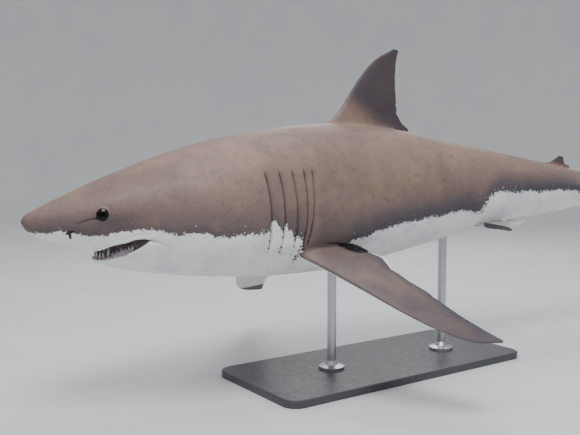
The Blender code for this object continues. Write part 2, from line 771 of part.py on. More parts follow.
def make_tail_fin(parent):
    """Make the crescent tail fin as an upper and a lower lobe."""
    first = STALK_BACK + GAP_UNITS / 2
    stock = loft("tail_fin_stock", [caudal_stock_ring(s) for s in stations_between(first, TAIL_TIP_ROOT, 2)],
                 parent)
    thickness = curve(((-0.05, 1.3), (0.15, 1.05), (0.5, 0.6), (1, 0.16)))
    upper = make_fin("tail_fin_upper_lobe_tool", edge_line(UPPER_LOBE_LEAD), edge_line(UPPER_LOBE_TRAIL),
                     thickness, fin_spans(9, -0.05), upright, parent)
    lower = make_fin("tail_fin_lower_lobe_tool", edge_line(LOWER_LOBE_LEAD), edge_line(LOWER_LOBE_TRAIL),
                     thickness, fin_spans(9, -0.05), upright, parent)
    wide, high = TAIL_ROOM
    corners = ((-wide, -high), (wide, -high), (wide, high), (-wide, high))
    behind = [[place(s, y, z) for y, z in corners] for s in (first, SPINE_END)]
    behind_stalk = cutter(loft("behind_stalk", behind, parent))
    for name, lobe, side in (("tail_fin_upper_lobe", upper, 1), ("tail_fin_lower_lobe", lower, -1)):
        half = duplicate(stock, name)
        boolean(half, lobe, 'UNION')
        boolean(half, half_space(name + "_side", side, parent), 'INTERSECT')
        boolean(half, behind_stalk, 'INTERSECT')
    for tool in (stock, upper, lower):
        cutter(tool)


# ---------------------------------------------------------------- stand
def make_base():
    """Make the flat base with round corners and softened edges."""
    length, width, height = BASE_SIZE
    work = bmesh.new()
    bmesh.ops.create_cube(work, size=1.0)
    for vert in work.verts:
        vert.co = Vector((vert.co.x * length, vert.co.y * width, (vert.co.z + 0.5) * height))
    upright_edges = [e for e in work.edges if abs(e.verts[0].co.z - e.verts[1].co.z) > height / 2]
    bmesh.ops.bevel(work, geom=upright_edges, offset=BASE_CORNER, segments=6, profile=0.5, affect='EDGES')
    top_edges = [e for e in work.edges if all(v.co.z > height - 1e-6 for v in e.verts)]
    bmesh.ops.bevel(work, geom=top_edges, offset=BASE_BEVEL, segments=2, profile=0.5, affect='EDGES')
    mesh = bpy.data.meshes.new("stand_base")
    work.to_mesh(mesh)
    work.free()
    return new_object("stand_base", mesh)


def make_rod(name, station, pose, trimmer):
    """Make an upright rod with a round foot, its top shaped to the belly."""
    belly_point = pose.matrix_world @ place(station, 0.0, belly(station))
    floor = BASE_SIZE[2] + GAP
    top = belly_point.z + ROD_SINK
    profile = (
        (ROD_FOOT_RADIUS, floor),
        (ROD_FOOT_RADIUS, floor + ROD_FOOT_HEIGHT),
        (ROD_COLLAR_RADIUS, floor + ROD_COLLAR_HEIGHT),
        (ROD_RADIUS, floor + ROD_SHANK_HEIGHT),
        (ROD_RADIUS, top),
    )
    turns = [2 * math.pi * k / ROD_SIDES for k in range(ROD_SIDES)]
    rings = [[Vector((r * math.cos(a), r * math.sin(a), z)) for a in turns] for r, z in profile]
    rod = loft(name, rings)
    rod.location = (belly_point.x, belly_point.y, 0.0)
    return boolean(rod, trimmer)


# ---------------------------------------------------------------- materials
SKIN_GREY = (0.13, 0.105, 0.095)
EYE_BLACK = (0.006, 0.006, 0.007)
STAND_GREY = (0.055, 0.058, 0.062)
STEEL = (0.52, 0.53, 0.54)


def paint(obj, colour, roughness, metallic=0.0):
    """Give an object its own material."""
    material = bpy.data.materials.new(obj.name)
    material.use_nodes = True
    shader = material.node_tree.nodes["Principled BSDF"]
    shader.inputs["Base Color"].default_value = (*colour, 1.0)
    shader.inputs["Roughness"].default_value = roughness
    shader.inputs["Metallic"].default_value = metallic
    obj.data.materials.append(material)


def paint_all():
    """Paint every piece of the model."""
    for obj in bpy.data.objects:
        if obj.type != 'MESH' or obj.hide_render:
            continue
        if obj.name.startswith("eye_"):
            paint(obj, EYE_BLACK, 0.08)
        elif obj.name.startswith("stand_rod"):
            paint(obj, STEEL, 0.35, 1.0)
        elif obj.name == "stand_base":
            paint(obj, STAND_GREY, 0.5)
        else:
            paint(obj, SKIN_GREY, 0.45)


# ---------------------------------------------------------------- assembly
def main():
    """Build the shark on its stand."""
    for obj in list(bpy.data.objects):
        bpy.data.objects.remove(obj, do_unlink=True)
    pose = bpy.data.objects.new("shark_pose", None)
    bpy.context.scene.collection.objects.link(pose)
    pose.location = (0.0, 0.0, SPINE_HEIGHT)
    pose.rotation_euler = Euler((BANK, -NOSE_DOWN, 0.0))
    bpy.context.view_layer.update()

    head, mouth = make_head(pose)
    make_lower_jaw(pose, mouth)
    for side, word in ((-1, "left"), (1, "right")):
        make_eye(f"eye_{word}", side, pose)
    make_gill_region(pose)
    make_trunk(pose)
    make_tail_stalk(pose)

    front_trim = whole_body("front_trim", 18.0, 66.0, pose)
    rear_trim = whole_body("rear_trim", 50.0, 83.0, pose)
    make_first_dorsal(pose, front_trim)
    make_second_dorsal(pose, rear_trim)
    make_anal_fin(pose, rear_trim)
    for side, word in ((-1, "left"), (1, "right")):
        make_pectoral(f"pectoral_fin_{word}", side, pose, front_trim)
        pelvic = make_pelvic(f"pelvic_fin_{word}", side, pose, rear_trim)
        make_clasper(f"clasper_{word}", side, pose, rear_trim, pelvic)
    make_tail_fin(pose)

    make_base()
    for word, station in zip(("front", "rear"), ROD_STATIONS):
        make_rod(f"stand_rod_{word}", station, pose, front_trim)
    paint_all()


main()
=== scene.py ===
"""Looks of the great white shark: one skin over the flesh, teeth, eyes, stand, floor, light and camera.

The body is laid out in "body units" (s, y, z): s runs from the snout tip along
the spine, y is the distance to the shark's right and z the height above the
spine, all in hundredths of the total length. place() bends them round the
spine and turns them into metres in the row's frame.
"""

import math

import bmesh
import bpy
import numpy as np
from mathutils import Euler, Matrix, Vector
from mathutils.kdtree import KDTree


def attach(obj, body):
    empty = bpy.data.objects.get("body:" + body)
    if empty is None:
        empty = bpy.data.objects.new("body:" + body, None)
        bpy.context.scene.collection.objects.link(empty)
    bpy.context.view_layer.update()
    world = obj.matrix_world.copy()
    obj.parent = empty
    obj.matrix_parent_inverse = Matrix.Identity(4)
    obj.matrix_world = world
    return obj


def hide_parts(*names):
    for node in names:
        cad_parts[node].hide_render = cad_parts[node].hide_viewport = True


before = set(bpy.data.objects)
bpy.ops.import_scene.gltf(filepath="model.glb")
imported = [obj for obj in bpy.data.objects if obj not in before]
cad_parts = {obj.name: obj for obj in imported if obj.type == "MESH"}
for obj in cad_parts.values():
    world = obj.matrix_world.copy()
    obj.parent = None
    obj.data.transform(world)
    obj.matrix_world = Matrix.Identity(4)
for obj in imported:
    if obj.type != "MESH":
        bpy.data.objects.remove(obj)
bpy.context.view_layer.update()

# ---------------------------------------------------------------- sizes shared with the solids
TOTAL_LENGTH = 3.5
UNIT = TOTAL_LENGTH / 100.0
SIDES = ((-1, "left"), (1, "right"))
SPINE_HEIGHT = 0.76
BALANCE_STATION = 43.0
NOSE_DOWN = math.radians(2.33)
BANK = math.radians(-1.6)
SPINE_END = 104.0

# The spine's swing to the side and its rise, in degrees at stations.
SPINE_SWING = ((5, -6.4), (25, 0.0), (45, -3.0), (60, -9.8), (80, -11.1))
SPINE_RISE = ((5, -1.8), (25, 0.2), (45, -0.3), (60, -2.7), (80, -3.1))

# The body's sections, as values at stations.
BACK = ((0, 0.0), (0.35, 0.5), (1.2, 1.0), (2.5, 1.62), (4, 2.3), (6.6, 3.42), (10, 4.72),
        (15, 6.3), (20, 7.45), (26, 8.25), (31, 8.75), (36, 8.9), (42, 8.45), (47, 7.75),
        (51, 6.8), (60, 5.3), (65, 4.5), (73, 3.15), (80, 1.95), (84, 1.65), (90, 1.1))
BELLY = ((0, 0.0), (0.3, -0.6), (0.7, -1.05), (1.3, -1.46), (2.5, -1.98), (4, -2.45), (5.85, -2.98),
         (6.2, -3.35), (6.6, -4.05), (7.1, -4.42), (8.3, -4.93), (10, -5.42), (15, -6.45), (20, -7.22),
         (26, -7.92), (33, -8.2), (40, -7.8), (50, -6.65), (56, -5.6), (65, -4.25),
         (74, -3.1), (80, -1.95), (84, -1.65), (90, -1.1))
HALF_WIDTH = ((0, 0.0), (0.35, 0.8), (1.2, 1.55), (2.5, 2.35), (4, 3.05), (6.7, 4.0),
              (10, 5.0), (15, 6.3), (20, 7.4), (26, 8.05), (34, 8.25), (42, 7.7),
              (50, 6.6), (58, 5.2), (66, 3.7), (73, 2.5), (80, 1.45), (84, 1.2), (90, 0.6))
WIDEST_HEIGHT = ((0, -0.05), (6, 0.1), (12, -0.1), (26, -0.3), (45, 0.2), (60, 0.3), (84, 0.0))
LOWER_FULLNESS = ((0, 2.0), (4, 2.3), (12, 2.2), (26, 2.15), (60, 2.0), (90, 2.0))
KEEL_WIDTH = ((66, 0.0), (71, 0.25), (76, 1.0), (80, 1.65), (84, 1.75), (87, 1.15), (91, 0.0))
KEEL_SHARPNESS = 14
STALK_BACK = 83.6
TAIL_TIP_ROOT = 89.5
STOCK_THINNING = 0.55

GILL_SLITS = ((22.4, 0.0), (23.9, 0.02), (25.4, 0.02), (26.65, 0.07), (27.45, 0.13))    # (station, lean)
GILL_TOP = 3.9
GILL_BOTTOM = -4.2
PIT_STATION = 82.4                # pits above and below, just before the tail

# Mouth: the lips as (station, height), the chin that sweeps back at its sides, and the hollow inside.
MOUTH_CORNER = (10.95, -2.16)
UPPER_LIP = ((5.2, -3.02), (6.6, -3.05), (7.1, -2.8), (7.8, -2.52), (8.9, -2.3),
             (9.65, -2.05), (10.3, -2.03), MOUTH_CORNER)
LOWER_LIP = ((6.3, -4.42), (7.4, -4.43), (8.0, -4.03), (8.75, -3.64), (9.5, -3.24),
             (10.3, -2.76), MOUTH_CORNER)
MOUTH_FURROW_END = (13.2, -3.1)
CHIN_SWEEP = 0.75
CHIN_STATION = 6.6
CHIN_LENGTH = 4.6
CHIN_HALF_WIDTH = 3.5
CHIN_LIMIT = 1.3                  # the sweep stops growing at this share of the half width
MOUTH_CENTRE = (9.7, 0.0, -3.15)
MOUTH_RADII = (2.7, 3.1, 1.15)
MOUTH_DEPTH = 0.62                # how far the mouth's inner wall lies behind the lower teeth
MOUTH_REAR = 11.0                 # no gums behind this station
MOUTH_FRONT = 5.5                 # the mouth's colours lie within this station and these heights
MOUTH_HEIGHTS = (-5.2, -1.2)
GUM_FRONT = 6.0

# Eyes and nostrils.
EYE_STATION = 6.75
EYE_HEIGHT = 0.5
EYE_RADIUS = 0.74
EYE_DEPTH_RADIUS = 0.38
EYE_SINK = 0.25
EYE_OPENING = 0.49                # radius of the opening between the lids
EYE_CREASE = ((EYE_STATION - 0.5, EYE_HEIGHT - 0.34), (EYE_STATION - 2.8, EYE_HEIGHT - 0.85))
NOSTRIL = (3.9, -1.25)            # (station, height)

# Fins, by their leading and trailing edges: (share of the span, station, height) on the middle plane, and
# (share of the span, along, out) in the frame of a paired fin, which droops from its origin.
DORSAL_LEAD = ((-0.12, 33.6, 6.0), (0, 34.6, 8.55), (0.05, 36.1, 9.2), (0.12, 37.05, 9.85),
               (0.3, 38.85, 11.9), (0.55, 40.9, 14.4), (0.8, 43.4, 16.6), (1, 46.2, 17.95))
DORSAL_TRAIL = ((-0.12, 45.6, 6.0), (0, 48.2, 7.75), (0.12, 47.0, 8.9), (0.3, 46.4, 11.0),
                (0.55, 46.3, 13.7), (0.8, 46.5, 16.0), (1, 46.95, 17.8))
SECOND_DORSAL_LEAD = ((-0.12, 70.0, 2.0), (0, 70.2, 3.45), (0.35, 71.9, 3.7), (0.65, 72.85, 4.15),
                      (1, 73.6, 4.6))
SECOND_DORSAL_TRAIL = ((-0.12, 73.6, 2.0), (0, 75.6, 2.9), (0.5, 74.55, 3.5), (1, 74.35, 4.4))
ANAL_LEAD = ((-0.12, 77.2, -1.6), (0, 77.3, -2.4), (0.5, 78.5, -3.6), (1, 79.8, -4.5))
ANAL_TRAIL = ((-0.12, 79.0, -1.6), (0, 81.0, -2.3), (0.5, 80.2, -3.3), (1, 80.1, -4.4))
PECTORAL_ORIGIN = (27.0, -6.6, -5.4)
PECTORAL_DROOP = math.radians(28.6)
PECTORAL_LEAD = ((-0.12, -1.0, -2.4), (0, -0.55, 0.0), (0.06, 0.1, 1.1), (0.15, 0.95, 2.8),
                 (0.35, 2.65, 6.6), (0.6, 4.8, 11.6), (0.8, 6.9, 15.2), (0.93, 9.4, 17.4), (1, 12.0, 18.1))
PECTORAL_TRAIL = ((-0.12, 6.0, -2.4), (0, 6.9, 0.1), (0.06, 8.7, 1.45), (0.11, 9.25, 2.4),
                  (0.17, 9.05, 3.5), (0.23, 8.8, 4.6), (0.35, 9.05, 6.5), (0.53, 9.95, 9.35),
                  (0.6, 10.1, 10.6), (0.8, 10.95, 14.3), (0.93, 11.9, 16.9), (1, 12.35, 17.95))
PELVIC_ORIGIN = (56.0, -3.1, -4.5)
PELVIC_DROOP = math.radians(24)
PELVIC_LEAD = ((-0.12, -0.3, -1.6), (0, 0.0, 0.0), (0.35, 1.35, 1.25), (0.7, 3.1, 2.2), (1, 5.0, 2.75))
PELVIC_TRAIL = ((-0.12, 4.4, -1.6), (0, 6.0, 0.0), (0.2, 6.1, 0.5), (0.5, 5.6, 1.4), (1, 5.3, 2.65))
CLASPER_ROUTE = ((60.3, 1.5, -4.5), (62.5, 1.3, -4.8), (65.0, 1.15, -4.65), (67.0, 1.05, -4.25))
CLASPER_RADII = (0.42, 0.5, 0.45, 0.2)
UPPER_LOBE_LEAD = ((-0.05, 82.6, -0.6), (0, 83.0, 0.6), (0.12, 84.6, 2.9), (0.35, 87.9, 6.6),
                   (0.6, 91.5, 10.2), (0.85, 95.6, 13.4), (1, 98.6, 15.1))
UPPER_LOBE_TRAIL = ((-0.05, 89.6, -0.6), (0, 89.8, 0.4), (0.12, 90.3, 2.2), (0.35, 92.0, 5.6),
                    (0.6, 94.5, 9.2), (0.76, 96.4, 11.3), (0.82, 97.6, 12.2), (0.9, 98.6, 13.6),
                    (1, 99.2, 15.0))
LOWER_LOBE_LEAD = ((-0.05, 82.8, 0.6), (0, 83.2, -0.6), (0.12, 84.4, -2.9), (0.35, 86.6, -6.6),
                   (0.6, 88.7, -9.9), (0.85, 90.7, -12.7), (1, 92.2, -14.3))
LOWER_LOBE_TRAIL = ((-0.05, 89.6, 0.6), (0, 89.8, -0.4), (0.12, 90.1, -2.3), (0.35, 90.7, -5.6),
                    (0.6, 91.5, -8.9), (0.85, 92.2, -12.2), (1, 92.5, -14.2))

# ---------------------------------------------------------------- fineness of the skin
HEAD_STEP = 0.075    # grid that the head is drawn on, body units
HEAD_END = 13.0                         # station where the head's grid hands over to rings
HEAD_SHARE = 0.36                       # share of the head's triangles that is kept
RING_POINTS = 156
FIN_CHORD = 24


# ---------------------------------------------------------------- curves and spine
def curve(table):
    """Return a smooth function through (x, value) pairs that never overshoots them."""
    xs, ys = np.array(table, float).T
    step = np.diff(xs)
    slope = np.diff(ys) / step
    tangent = np.zeros_like(xs)
    for i in range(1, len(xs) - 1):
        if slope[i - 1] * slope[i] > 0:
            w1 = 2 * step[i] + step[i - 1]
            w2 = step[i] + 2 * step[i - 1]
            tangent[i] = (w1 + w2) / (w1 / slope[i - 1] + w2 / slope[i])
    tangent[0] = slope[0]
    tangent[-1] = slope[-1]

    def value(x):
        x = np.clip(x, xs[0], xs[-1])
        i = np.clip(np.searchsorted(xs, x, side="right") - 1, 0, len(step) - 1)
        h = step[i]
        t = (x - xs[i]) / h
        return (ys[i] * (1 + 2 * t) * (1 - t) ** 2 + tangent[i] * h * t * (1 - t) ** 2
                + ys[i + 1] * t * t * (3 - 2 * t) + tangent[i + 1] * h * t * t * (t - 1))

    return value


back = curve(BACK)
belly = curve(BELLY)
half_width = curve(HALF_WIDTH)
widest_height = curve(WIDEST_HEIGHT)
lower_fullness = curve(LOWER_FULLNESS)
keel_width = curve(KEEL_WIDTH)
spine_swing = curve(SPINE_SWING)
spine_rise = curve(SPINE_RISE)
upper_lip = curve(UPPER_LIP)
lower_lip = curve(LOWER_LIP)


def spine_axes(s):
    """Return the spine's direction, the shark's right and its up at stations."""
    swing = np.radians(spine_swing(s))
    rise = np.radians(spine_rise(s))
    along = np.stack([np.cos(swing) * np.cos(rise), np.sin(swing) * np.cos(rise), np.sin(rise)], -1)
    right = np.stack([-np.sin(swing), np.cos(swing), np.zeros_like(swing)], -1)
    return along, right, np.cross(along, right)


SPINE_S = np.linspace(0.0, SPINE_END, 521)
SPINE_STEPS = spine_axes((SPINE_S[:-1] + SPINE_S[1:]) / 2)[0] * np.diff(SPINE_S)[:, None]
SPINE_P = np.vstack([np.zeros(3), np.cumsum(SPINE_STEPS, axis=0)])


def spine_point(s):
    """Return the spine's points at stations, in body units."""
    return np.stack([np.interp(s, SPINE_S, SPINE_P[:, k]) for k in range(3)], -1)


BALANCE_POINT = spine_point(np.array(BALANCE_STATION))
POSE = np.array(Euler((BANK, -NOSE_DOWN, 0.0)).to_matrix())
STAND_OFFSET = np.array([0.0, 0.0, SPINE_HEIGHT])


def place(points):
    """Turn rows of (s, y, z) body units into metres in the row's frame."""
    points = np.atleast_2d(np.asarray(points, float))
    s_on = np.clip(points[:, 0], 0.0, SPINE_END)
    along, right, up = spine_axes(s_on)
    at = spine_point(s_on) + along * (points[:, 0] - s_on)[:, None]
    at += right * points[:, 1:2] + up * points[:, 2:3]
    return ((at - BALANCE_POINT) * UNIT) @ POSE.T + STAND_OFFSET


def unplace(world):
    """Turn metres in the row's frame back into body units."""
    local = ((world - STAND_OFFSET) @ POSE) / UNIT + BALANCE_POINT
    s = local[:, 0].copy()
    for _ in range(12):
        on = np.clip(s, 0.0, SPINE_END)
        along = spine_axes(on)[0]
        s += np.einsum("ij,ij->i", local - spine_point(on) - along * (s - on)[:, None], along)
    on = np.clip(s, 0.0, SPINE_END)
    _, right, up = spine_axes(on)
    away = local - spine_point(on)
    return np.stack([s, np.einsum("ij,ij->i", away, right), np.einsum("ij,ij->i", away, up)], -1)


# ---------------------------------------------------------------- body sections
def chin_sweep(s, y, down):
    """Return how far the underside's points lie behind their ring's station."""
    reach = np.maximum(0.0, 1.0 - np.abs(s - CHIN_STATION) / CHIN_LENGTH)
    side = np.minimum(np.abs(y) / CHIN_HALF_WIDTH, CHIN_LIMIT)
    return CHIN_SWEEP * reach * side * side * down


def section(s, angle):
    """Return (s, y, z) rows of the body's outline at stations and angles from the back."""
    out = np.sin(angle)
    up = np.cos(angle)
    mid = widest_height(s)
    power = np.where(up > 0, 1.0, 2.0 / lower_fullness(s))
    y = half_width(s) * np.sign(out) * np.abs(out) ** power
    y = y + keel_width(s) * np.sign(out) * np.abs(out) ** KEEL_SHARPNESS
    reach = np.where(up > 0, back(s) - mid, mid - belly(s))
    z = mid + reach * np.sign(up) * np.abs(up) ** power
    return np.stack(np.broadcast_arrays(s + chin_sweep(s, y, np.maximum(0.0, -up)), y, z), -1)


# Table of the head's radius round the spine, for a quick test of how deep a point lies.
TABLE_STEP = 0.05
TABLE_S = np.arange(0.0, 16.0, TABLE_STEP)
TABLE_PHI = np.linspace(0.0, math.pi, 361)
TIP_SLOPE = 2.3
SNOUT_START = 0.02                # the snout's tip is cut flat here, and rounded
SNOUT_ROUND = 0.14


def radius_tables():
    """Return the head's radius and its slope factor over stations and angles."""
    theta = np.linspace(0.0, math.pi, 721)
    radius = np.zeros((len(TABLE_S), len(TABLE_PHI)))
    for i, s in enumerate(TABLE_S[1:], start=1):
        ring = section(np.full_like(theta, s), theta)
        turn = np.arctan2(ring[:, 1], ring[:, 2])
        radius[i] = np.interp(TABLE_PHI, turn, np.hypot(ring[:, 1], ring[:, 2]))
    along = np.gradient(radius, TABLE_S, axis=0)
    round_ = np.gradient(radius, TABLE_PHI, axis=1) / np.maximum(radius, 0.3)
    return radius, np.sqrt(1.0 + along ** 2 + round_ ** 2)


RADIUS, SLOPE = radius_tables()


def sample(table, s, phi):
    """Read a table between its entries."""
    a = np.clip(s / TABLE_STEP, 0, len(TABLE_S) - 1.001)
    b = np.clip(phi / math.pi * (len(TABLE_PHI) - 1), 0, len(TABLE_PHI) - 1.001)
    i = a.astype(int)
    j = b.astype(int)
    a = a - i
    b = b - j
    low = table[i, j] * (1 - b) + table[i, j + 1] * b
    high = table[i + 1, j] * (1 - b) + table[i + 1, j + 1] * b
    return low * (1 - a) + high * a


def hull(s, y, z):
    """Return about how far points lie outside the plain head, in body units."""
    side = np.abs(y)
    mid = widest_height(s)
    reach = np.maximum(mid - belly(s), 0.2)
    down = np.clip((mid - z) / reach, 0.0, 1.0) ** (lower_fullness(s) / 2)
    source = s - chin_sweep(s, side, down)
    source = s - chin_sweep(source, side, down)
    phi = np.arctan2(side, z)
    radius = sample(RADIUS, source, phi) + TIP_SLOPE * np.minimum(source, 0.0)
    outside = (np.hypot(side, z) - radius) / sample(SLOPE, source, phi)
    return soft_max(outside, SNOUT_START - s, SNOUT_ROUND)


# ---------------------------------------------------------------- soft joining of shapes
def soft_min(a, b, k):
    """Join two shapes with a fillet of about k."""
    h = np.maximum(k - np.abs(a - b), 0.0) / k
    return np.minimum(a, b) - h * h * k / 4


def soft_max(a, b, k):
    """Keep what two shapes share, with a rounded rim of about k."""
    return -soft_min(-a, -b, k)


def bump(distance, width):
    """Return a smooth bump that fades with distance."""
    return np.exp(-(distance / width) ** 2)


def ramp(x, low, high):
    """Return a smooth step from 0 at low to 1 at high."""
    t = np.clip((x - low) / (high - low), 0.0, 1.0)
    return t * t * (3 - 2 * t)


def ellipsoid_distance(points, centre, radii):
    """Return about how far (..., 3) points lie outside an ellipsoid."""
    scaled = (points - np.asarray(centre)) / np.asarray(radii)
    k0 = np.linalg.norm(scaled, axis=-1)
    k1 = np.linalg.norm(scaled / np.asarray(radii), axis=-1)
    return k0 * (k0 - 1.0) / np.maximum(k1, 1e-6)


def segment_distance(points, a, b):
    """Return the distance of (..., n) points from the segment a to b, and how far along it they are."""
    a = np.asarray(a, float)
    b = np.asarray(b, float)
    run = b - a
    t = np.clip((points - a) @ run / (run @ run), 0.0, 1.0)
    return np.linalg.norm(points - a - t[..., None] * run, axis=-1), t


# ---------------------------------------------------------------- eyes
def angle_at_height(s, height, side):
    """Return the section angle where the skin of one side reaches a height."""
    low = 0.05
    high = math.pi - 0.05
    for _ in range(40):
        middle = (low + high) / 2
        if section(s, middle)[2] > height:
            low = middle
        else:
            high = middle
    return side * low


def skin_normal(s, angle):
    """Return the skin's outward direction at a station and angle, in spine axes."""
    a = section(s + 0.2, angle) - section(s - 0.2, angle)
    b = section(s, angle + 0.05) - section(s, angle - 0.05)
    normal = np.cross(a, b)
    normal /= np.linalg.norm(normal)
    centre = np.array([s, 0.0, widest_height(s)])
    return normal if normal @ (section(s, angle) - centre) > 0 else -normal


def skin_frame(s, height, side, sink):
    """Return a centre sunk under the skin and its (forward, across, outward) axes, in spine axes."""
    angle = angle_at_height(s, height, side)
    normal = skin_normal(s, angle)
    forward = np.array([1.0, 0.0, 0.0]) - normal * normal[0]
    forward /= np.linalg.norm(forward)
    return section(s, angle) - normal * sink, np.stack([forward, np.cross(normal, forward), normal])


def in_frame(points, centre, axes):
    """Return (..., 3) points of either side in the frame of that side's eye or nostril."""
    mirrored = np.stack([points[..., 0], np.abs(points[..., 1]), points[..., 2]], -1)
    return (mirrored - centre) @ axes.T


EYE_CENTRE, EYE_AXES = skin_frame(EYE_STATION, EYE_HEIGHT, 1, EYE_SINK)
NOSTRIL_CENTRE, NOSTRIL_AXES = skin_frame(*NOSTRIL, 1, 0.0)

# Rims round an eye: distance from its opening, width, and height over the skin.
LID_RIMS = ((0.13, 0.11, 0.035), (0.40, 0.16, -0.015))
LID_REACH = 0.6
SOCKET_DEPTH = 0.45
SOCKET_ROUND = 0.14

# A nostril's groove and flap, in the nostril's frame.
NOSTRIL_HOOK = ((0.28, -0.28, -0.05), (-0.08, -0.16, -0.08), (0.05, 0.48, -0.10))
NOSTRIL_NOTCH = (-0.27, 0.10, -0.06)
NOSTRIL_FLAP = ((-0.22, 0.22, -0.06), (-0.10, 0.46, -0.04))
NOSTRIL_RADII = (0.10, 0.15)      # at the hook's tip and along its stem
NOTCH_RADIUS = 0.13
FLAP_RADIUS = 0.09


# ---------------------------------------------------------------- head
ROW_REACH = 2.75                  # how far the ends of a tooth row lie behind its front
GUM_FALL = 0.25                   # how much lower the gum stands at the ends of its row
GUM_EDGE = 0.12                   # how far the gums stay under the outer skin
GUM_END_SLOPE = 0.8
# A tooth row: its lip, its front's station, half width, number of teeth, the way they stand, how far they
# show, the gum's height over the lip and the heights of the teeth from the middle out. Then its ridge of
# gum: lift over the teeth's roots, shift inward, half width, rounding, and half length with its rounding.
UPPER_ROW = {"lip": upper_lip, "front": 7.0, "spread": 3.65, "teeth": 22, "up": -1, "show": 0.2,
             "gum": 0.0, "heights": (1.0, 0.8),
             "lift": 0.02, "shift": 0.05, "half": 0.36, "round": 0.20, "end": (3.25, 0.5)}
LOWER_ROW = {"lip": lower_lip, "front": 6.92, "spread": 3.6, "teeth": 20, "up": 1, "show": 0.84,
             "gum": 0.55, "heights": (0.75, 0.85, 0.7, 1.4, 0.5, 0.6, 0.8, 0.6, 0.75, 0.6),
             "lift": 0.0, "shift": 0.0, "half": 0.40, "round": 0.22, "end": (3.45, 0.28)}
GUMS = ((LOWER_ROW, 0.14, -2.0), (UPPER_ROW, 0.12, -1.5))    # with fillet and greatest height

FURROW_ROUTE = ((10.9, -2.19), (11.7, -2.38), (12.7, -2.95))    # behind the corner of the mouth
FURROW_DEPTH = 0.15
FURROW_WIDTH = 0.2
LIP_FOLD = (0.42, 0.16, 0.05)     # height over the upper lip, width and depth
EYE_CREASE_DEPTH = 0.12
EYE_CREASE_WIDTH = 0.12
PALATE_MEETING = (0.12, 0.16, 0.5)    # height over the lips' middle, width and depth of the seam
LIP_GROOVE = (0.62, 0.02, 0.2)    # distance outside the teeth, height over the lip, radius
LIP_ROUND = 0.16
CAVITY_ROUND = 0.3
FAR = 9.0                         # a distance that keeps a shape away


def gap_distance(s, z):
    """Return how far points lie outside the open gap between the lips."""
    above = z - upper_lip(s)
    below = lower_lip(s) - z
    behind = np.hypot(s - MOUTH_CORNER[0], z - MOUTH_CORNER[1])
    return np.where(s < MOUTH_CORNER[0], np.maximum(above, below), behind)


def row_offset(row, s, y):
    """Return how far points lie inside the arch of a tooth row, and the row's own station."""
    t = y / row["spread"]
    at = row["front"] + ROW_REACH * t * t
    slope = 2 * ROW_REACH * t / row["spread"]
    return (s - at) / np.sqrt(1 + slope ** 2), at


def gum_level(row, t):
    """Return how high the gum stands over the lip at t from -1 to 1 along a tooth row."""
    return row["gum"] * (1 - GUM_FALL * t * t)


def gum_distance(row, s, y, z):
    """Return how far points lie outside a jaw's ridge of gum."""
    inward, at = row_offset(row, s, y)
    crest = row["lip"](at) + gum_level(row, y / row["spread"]) + row["lift"]
    across = np.maximum(np.abs(inward - row["shift"]) - (row["half"] - row["round"]), 0.0)
    past = np.maximum(row["up"] * (z - (crest - row["up"] * row["round"])), 0.0)
    end, end_round = row["end"]
    return soft_max(np.hypot(across, past) - row["round"], (np.abs(y) - end) * GUM_END_SLOPE, end_round)


def relief(s, y, z):
    """Return how far the head's skin lies under its plain form: furrow, fold and crease."""
    side = np.abs(y)
    flat = np.stack([s, z], -1)
    start, bend, end = FURROW_ROUTE
    away, t = segment_distance(flat, start, bend)
    away_end, t_end = segment_distance(flat, bend, end)
    run = np.where(away < away_end, t * 0.5, 0.5 + t_end * 0.5)
    furrow = FURROW_DEPTH * bump(np.minimum(away, away_end), FURROW_WIDTH)
    depth = furrow * (1 - ramp(run, 0.2, 1.0)) * (side > 1.5)
    lift, width, fold = LIP_FOLD
    over = bump(z - (upper_lip(s) + lift), width)
    depth += fold * over * ramp(s, 6.9, 8.0) * (1 - ramp(s, 10.2, 11.2)) * (z < -0.9)
    away, t = segment_distance(flat, *EYE_CREASE)
    return depth + EYE_CREASE_DEPTH * bump(away, EYE_CREASE_WIDTH) * (1 - t) * (side > 1.0)


def nostril_distance(nose):
    """Return how far points lie outside the hooked groove of a nostril, in the nostril's frame."""
    tip, corner, end = NOSTRIL_HOOK
    hook, t = segment_distance(nose, tip, corner)
    stem, _ = segment_distance(nose, corner, end)
    notch, _ = segment_distance(nose, corner, NOSTRIL_NOTCH)
    arch = soft_min(hook - NOSTRIL_RADII[0] - 0.03 * t, notch - NOTCH_RADIUS, 0.06)
    return soft_min(arch, stem - NOSTRIL_RADII[1], 0.06)


def carve_mouth(points, body):
    """Return the head's field with the mouth cut open and the gums set in."""
    s, y, z = points[..., 0], points[..., 1], points[..., 2]

    # The mouth is open between the lips, back to where the tongue and the palate meet.
    inward, at = row_offset(LOWER_ROW, s, y)
    lift, width, depth = PALATE_MEETING
    meeting = z - 0.5 * (upper_lip(s) + lower_lip(s)) - lift
    wall = inward - MOUTH_DEPTH - depth * bump(meeting, width)
    gap = np.where(s > HEAD_END, FAR, soft_max(gap_distance(s, z), wall, CAVITY_ROUND))
    skin = soft_max(body, -gap, LIP_ROUND)
    cavity = soft_max(ellipsoid_distance(points, MOUTH_CENTRE, MOUTH_RADII), wall, CAVITY_ROUND)
    skin = soft_max(skin, -cavity, CAVITY_ROUND)

    # Groove between the lower lip and its gum, then the gums themselves.
    outside, lift, radius = LIP_GROOVE
    groove = np.hypot(inward + outside, z - lower_lip(at) - lift) - radius
    groove = soft_max(groove, body + radius, radius)
    skin = np.where(s < MOUTH_REAR, soft_max(skin, -groove, LIP_ROUND), skin)
    for row, fillet, highest in GUMS:
        gum = gum_distance(row, s, y, z) + np.maximum(body + GUM_EDGE, 0)
        skin = np.where((s < MOUTH_REAR) & (z < highest), soft_min(skin, gum, fillet), skin)
    return skin


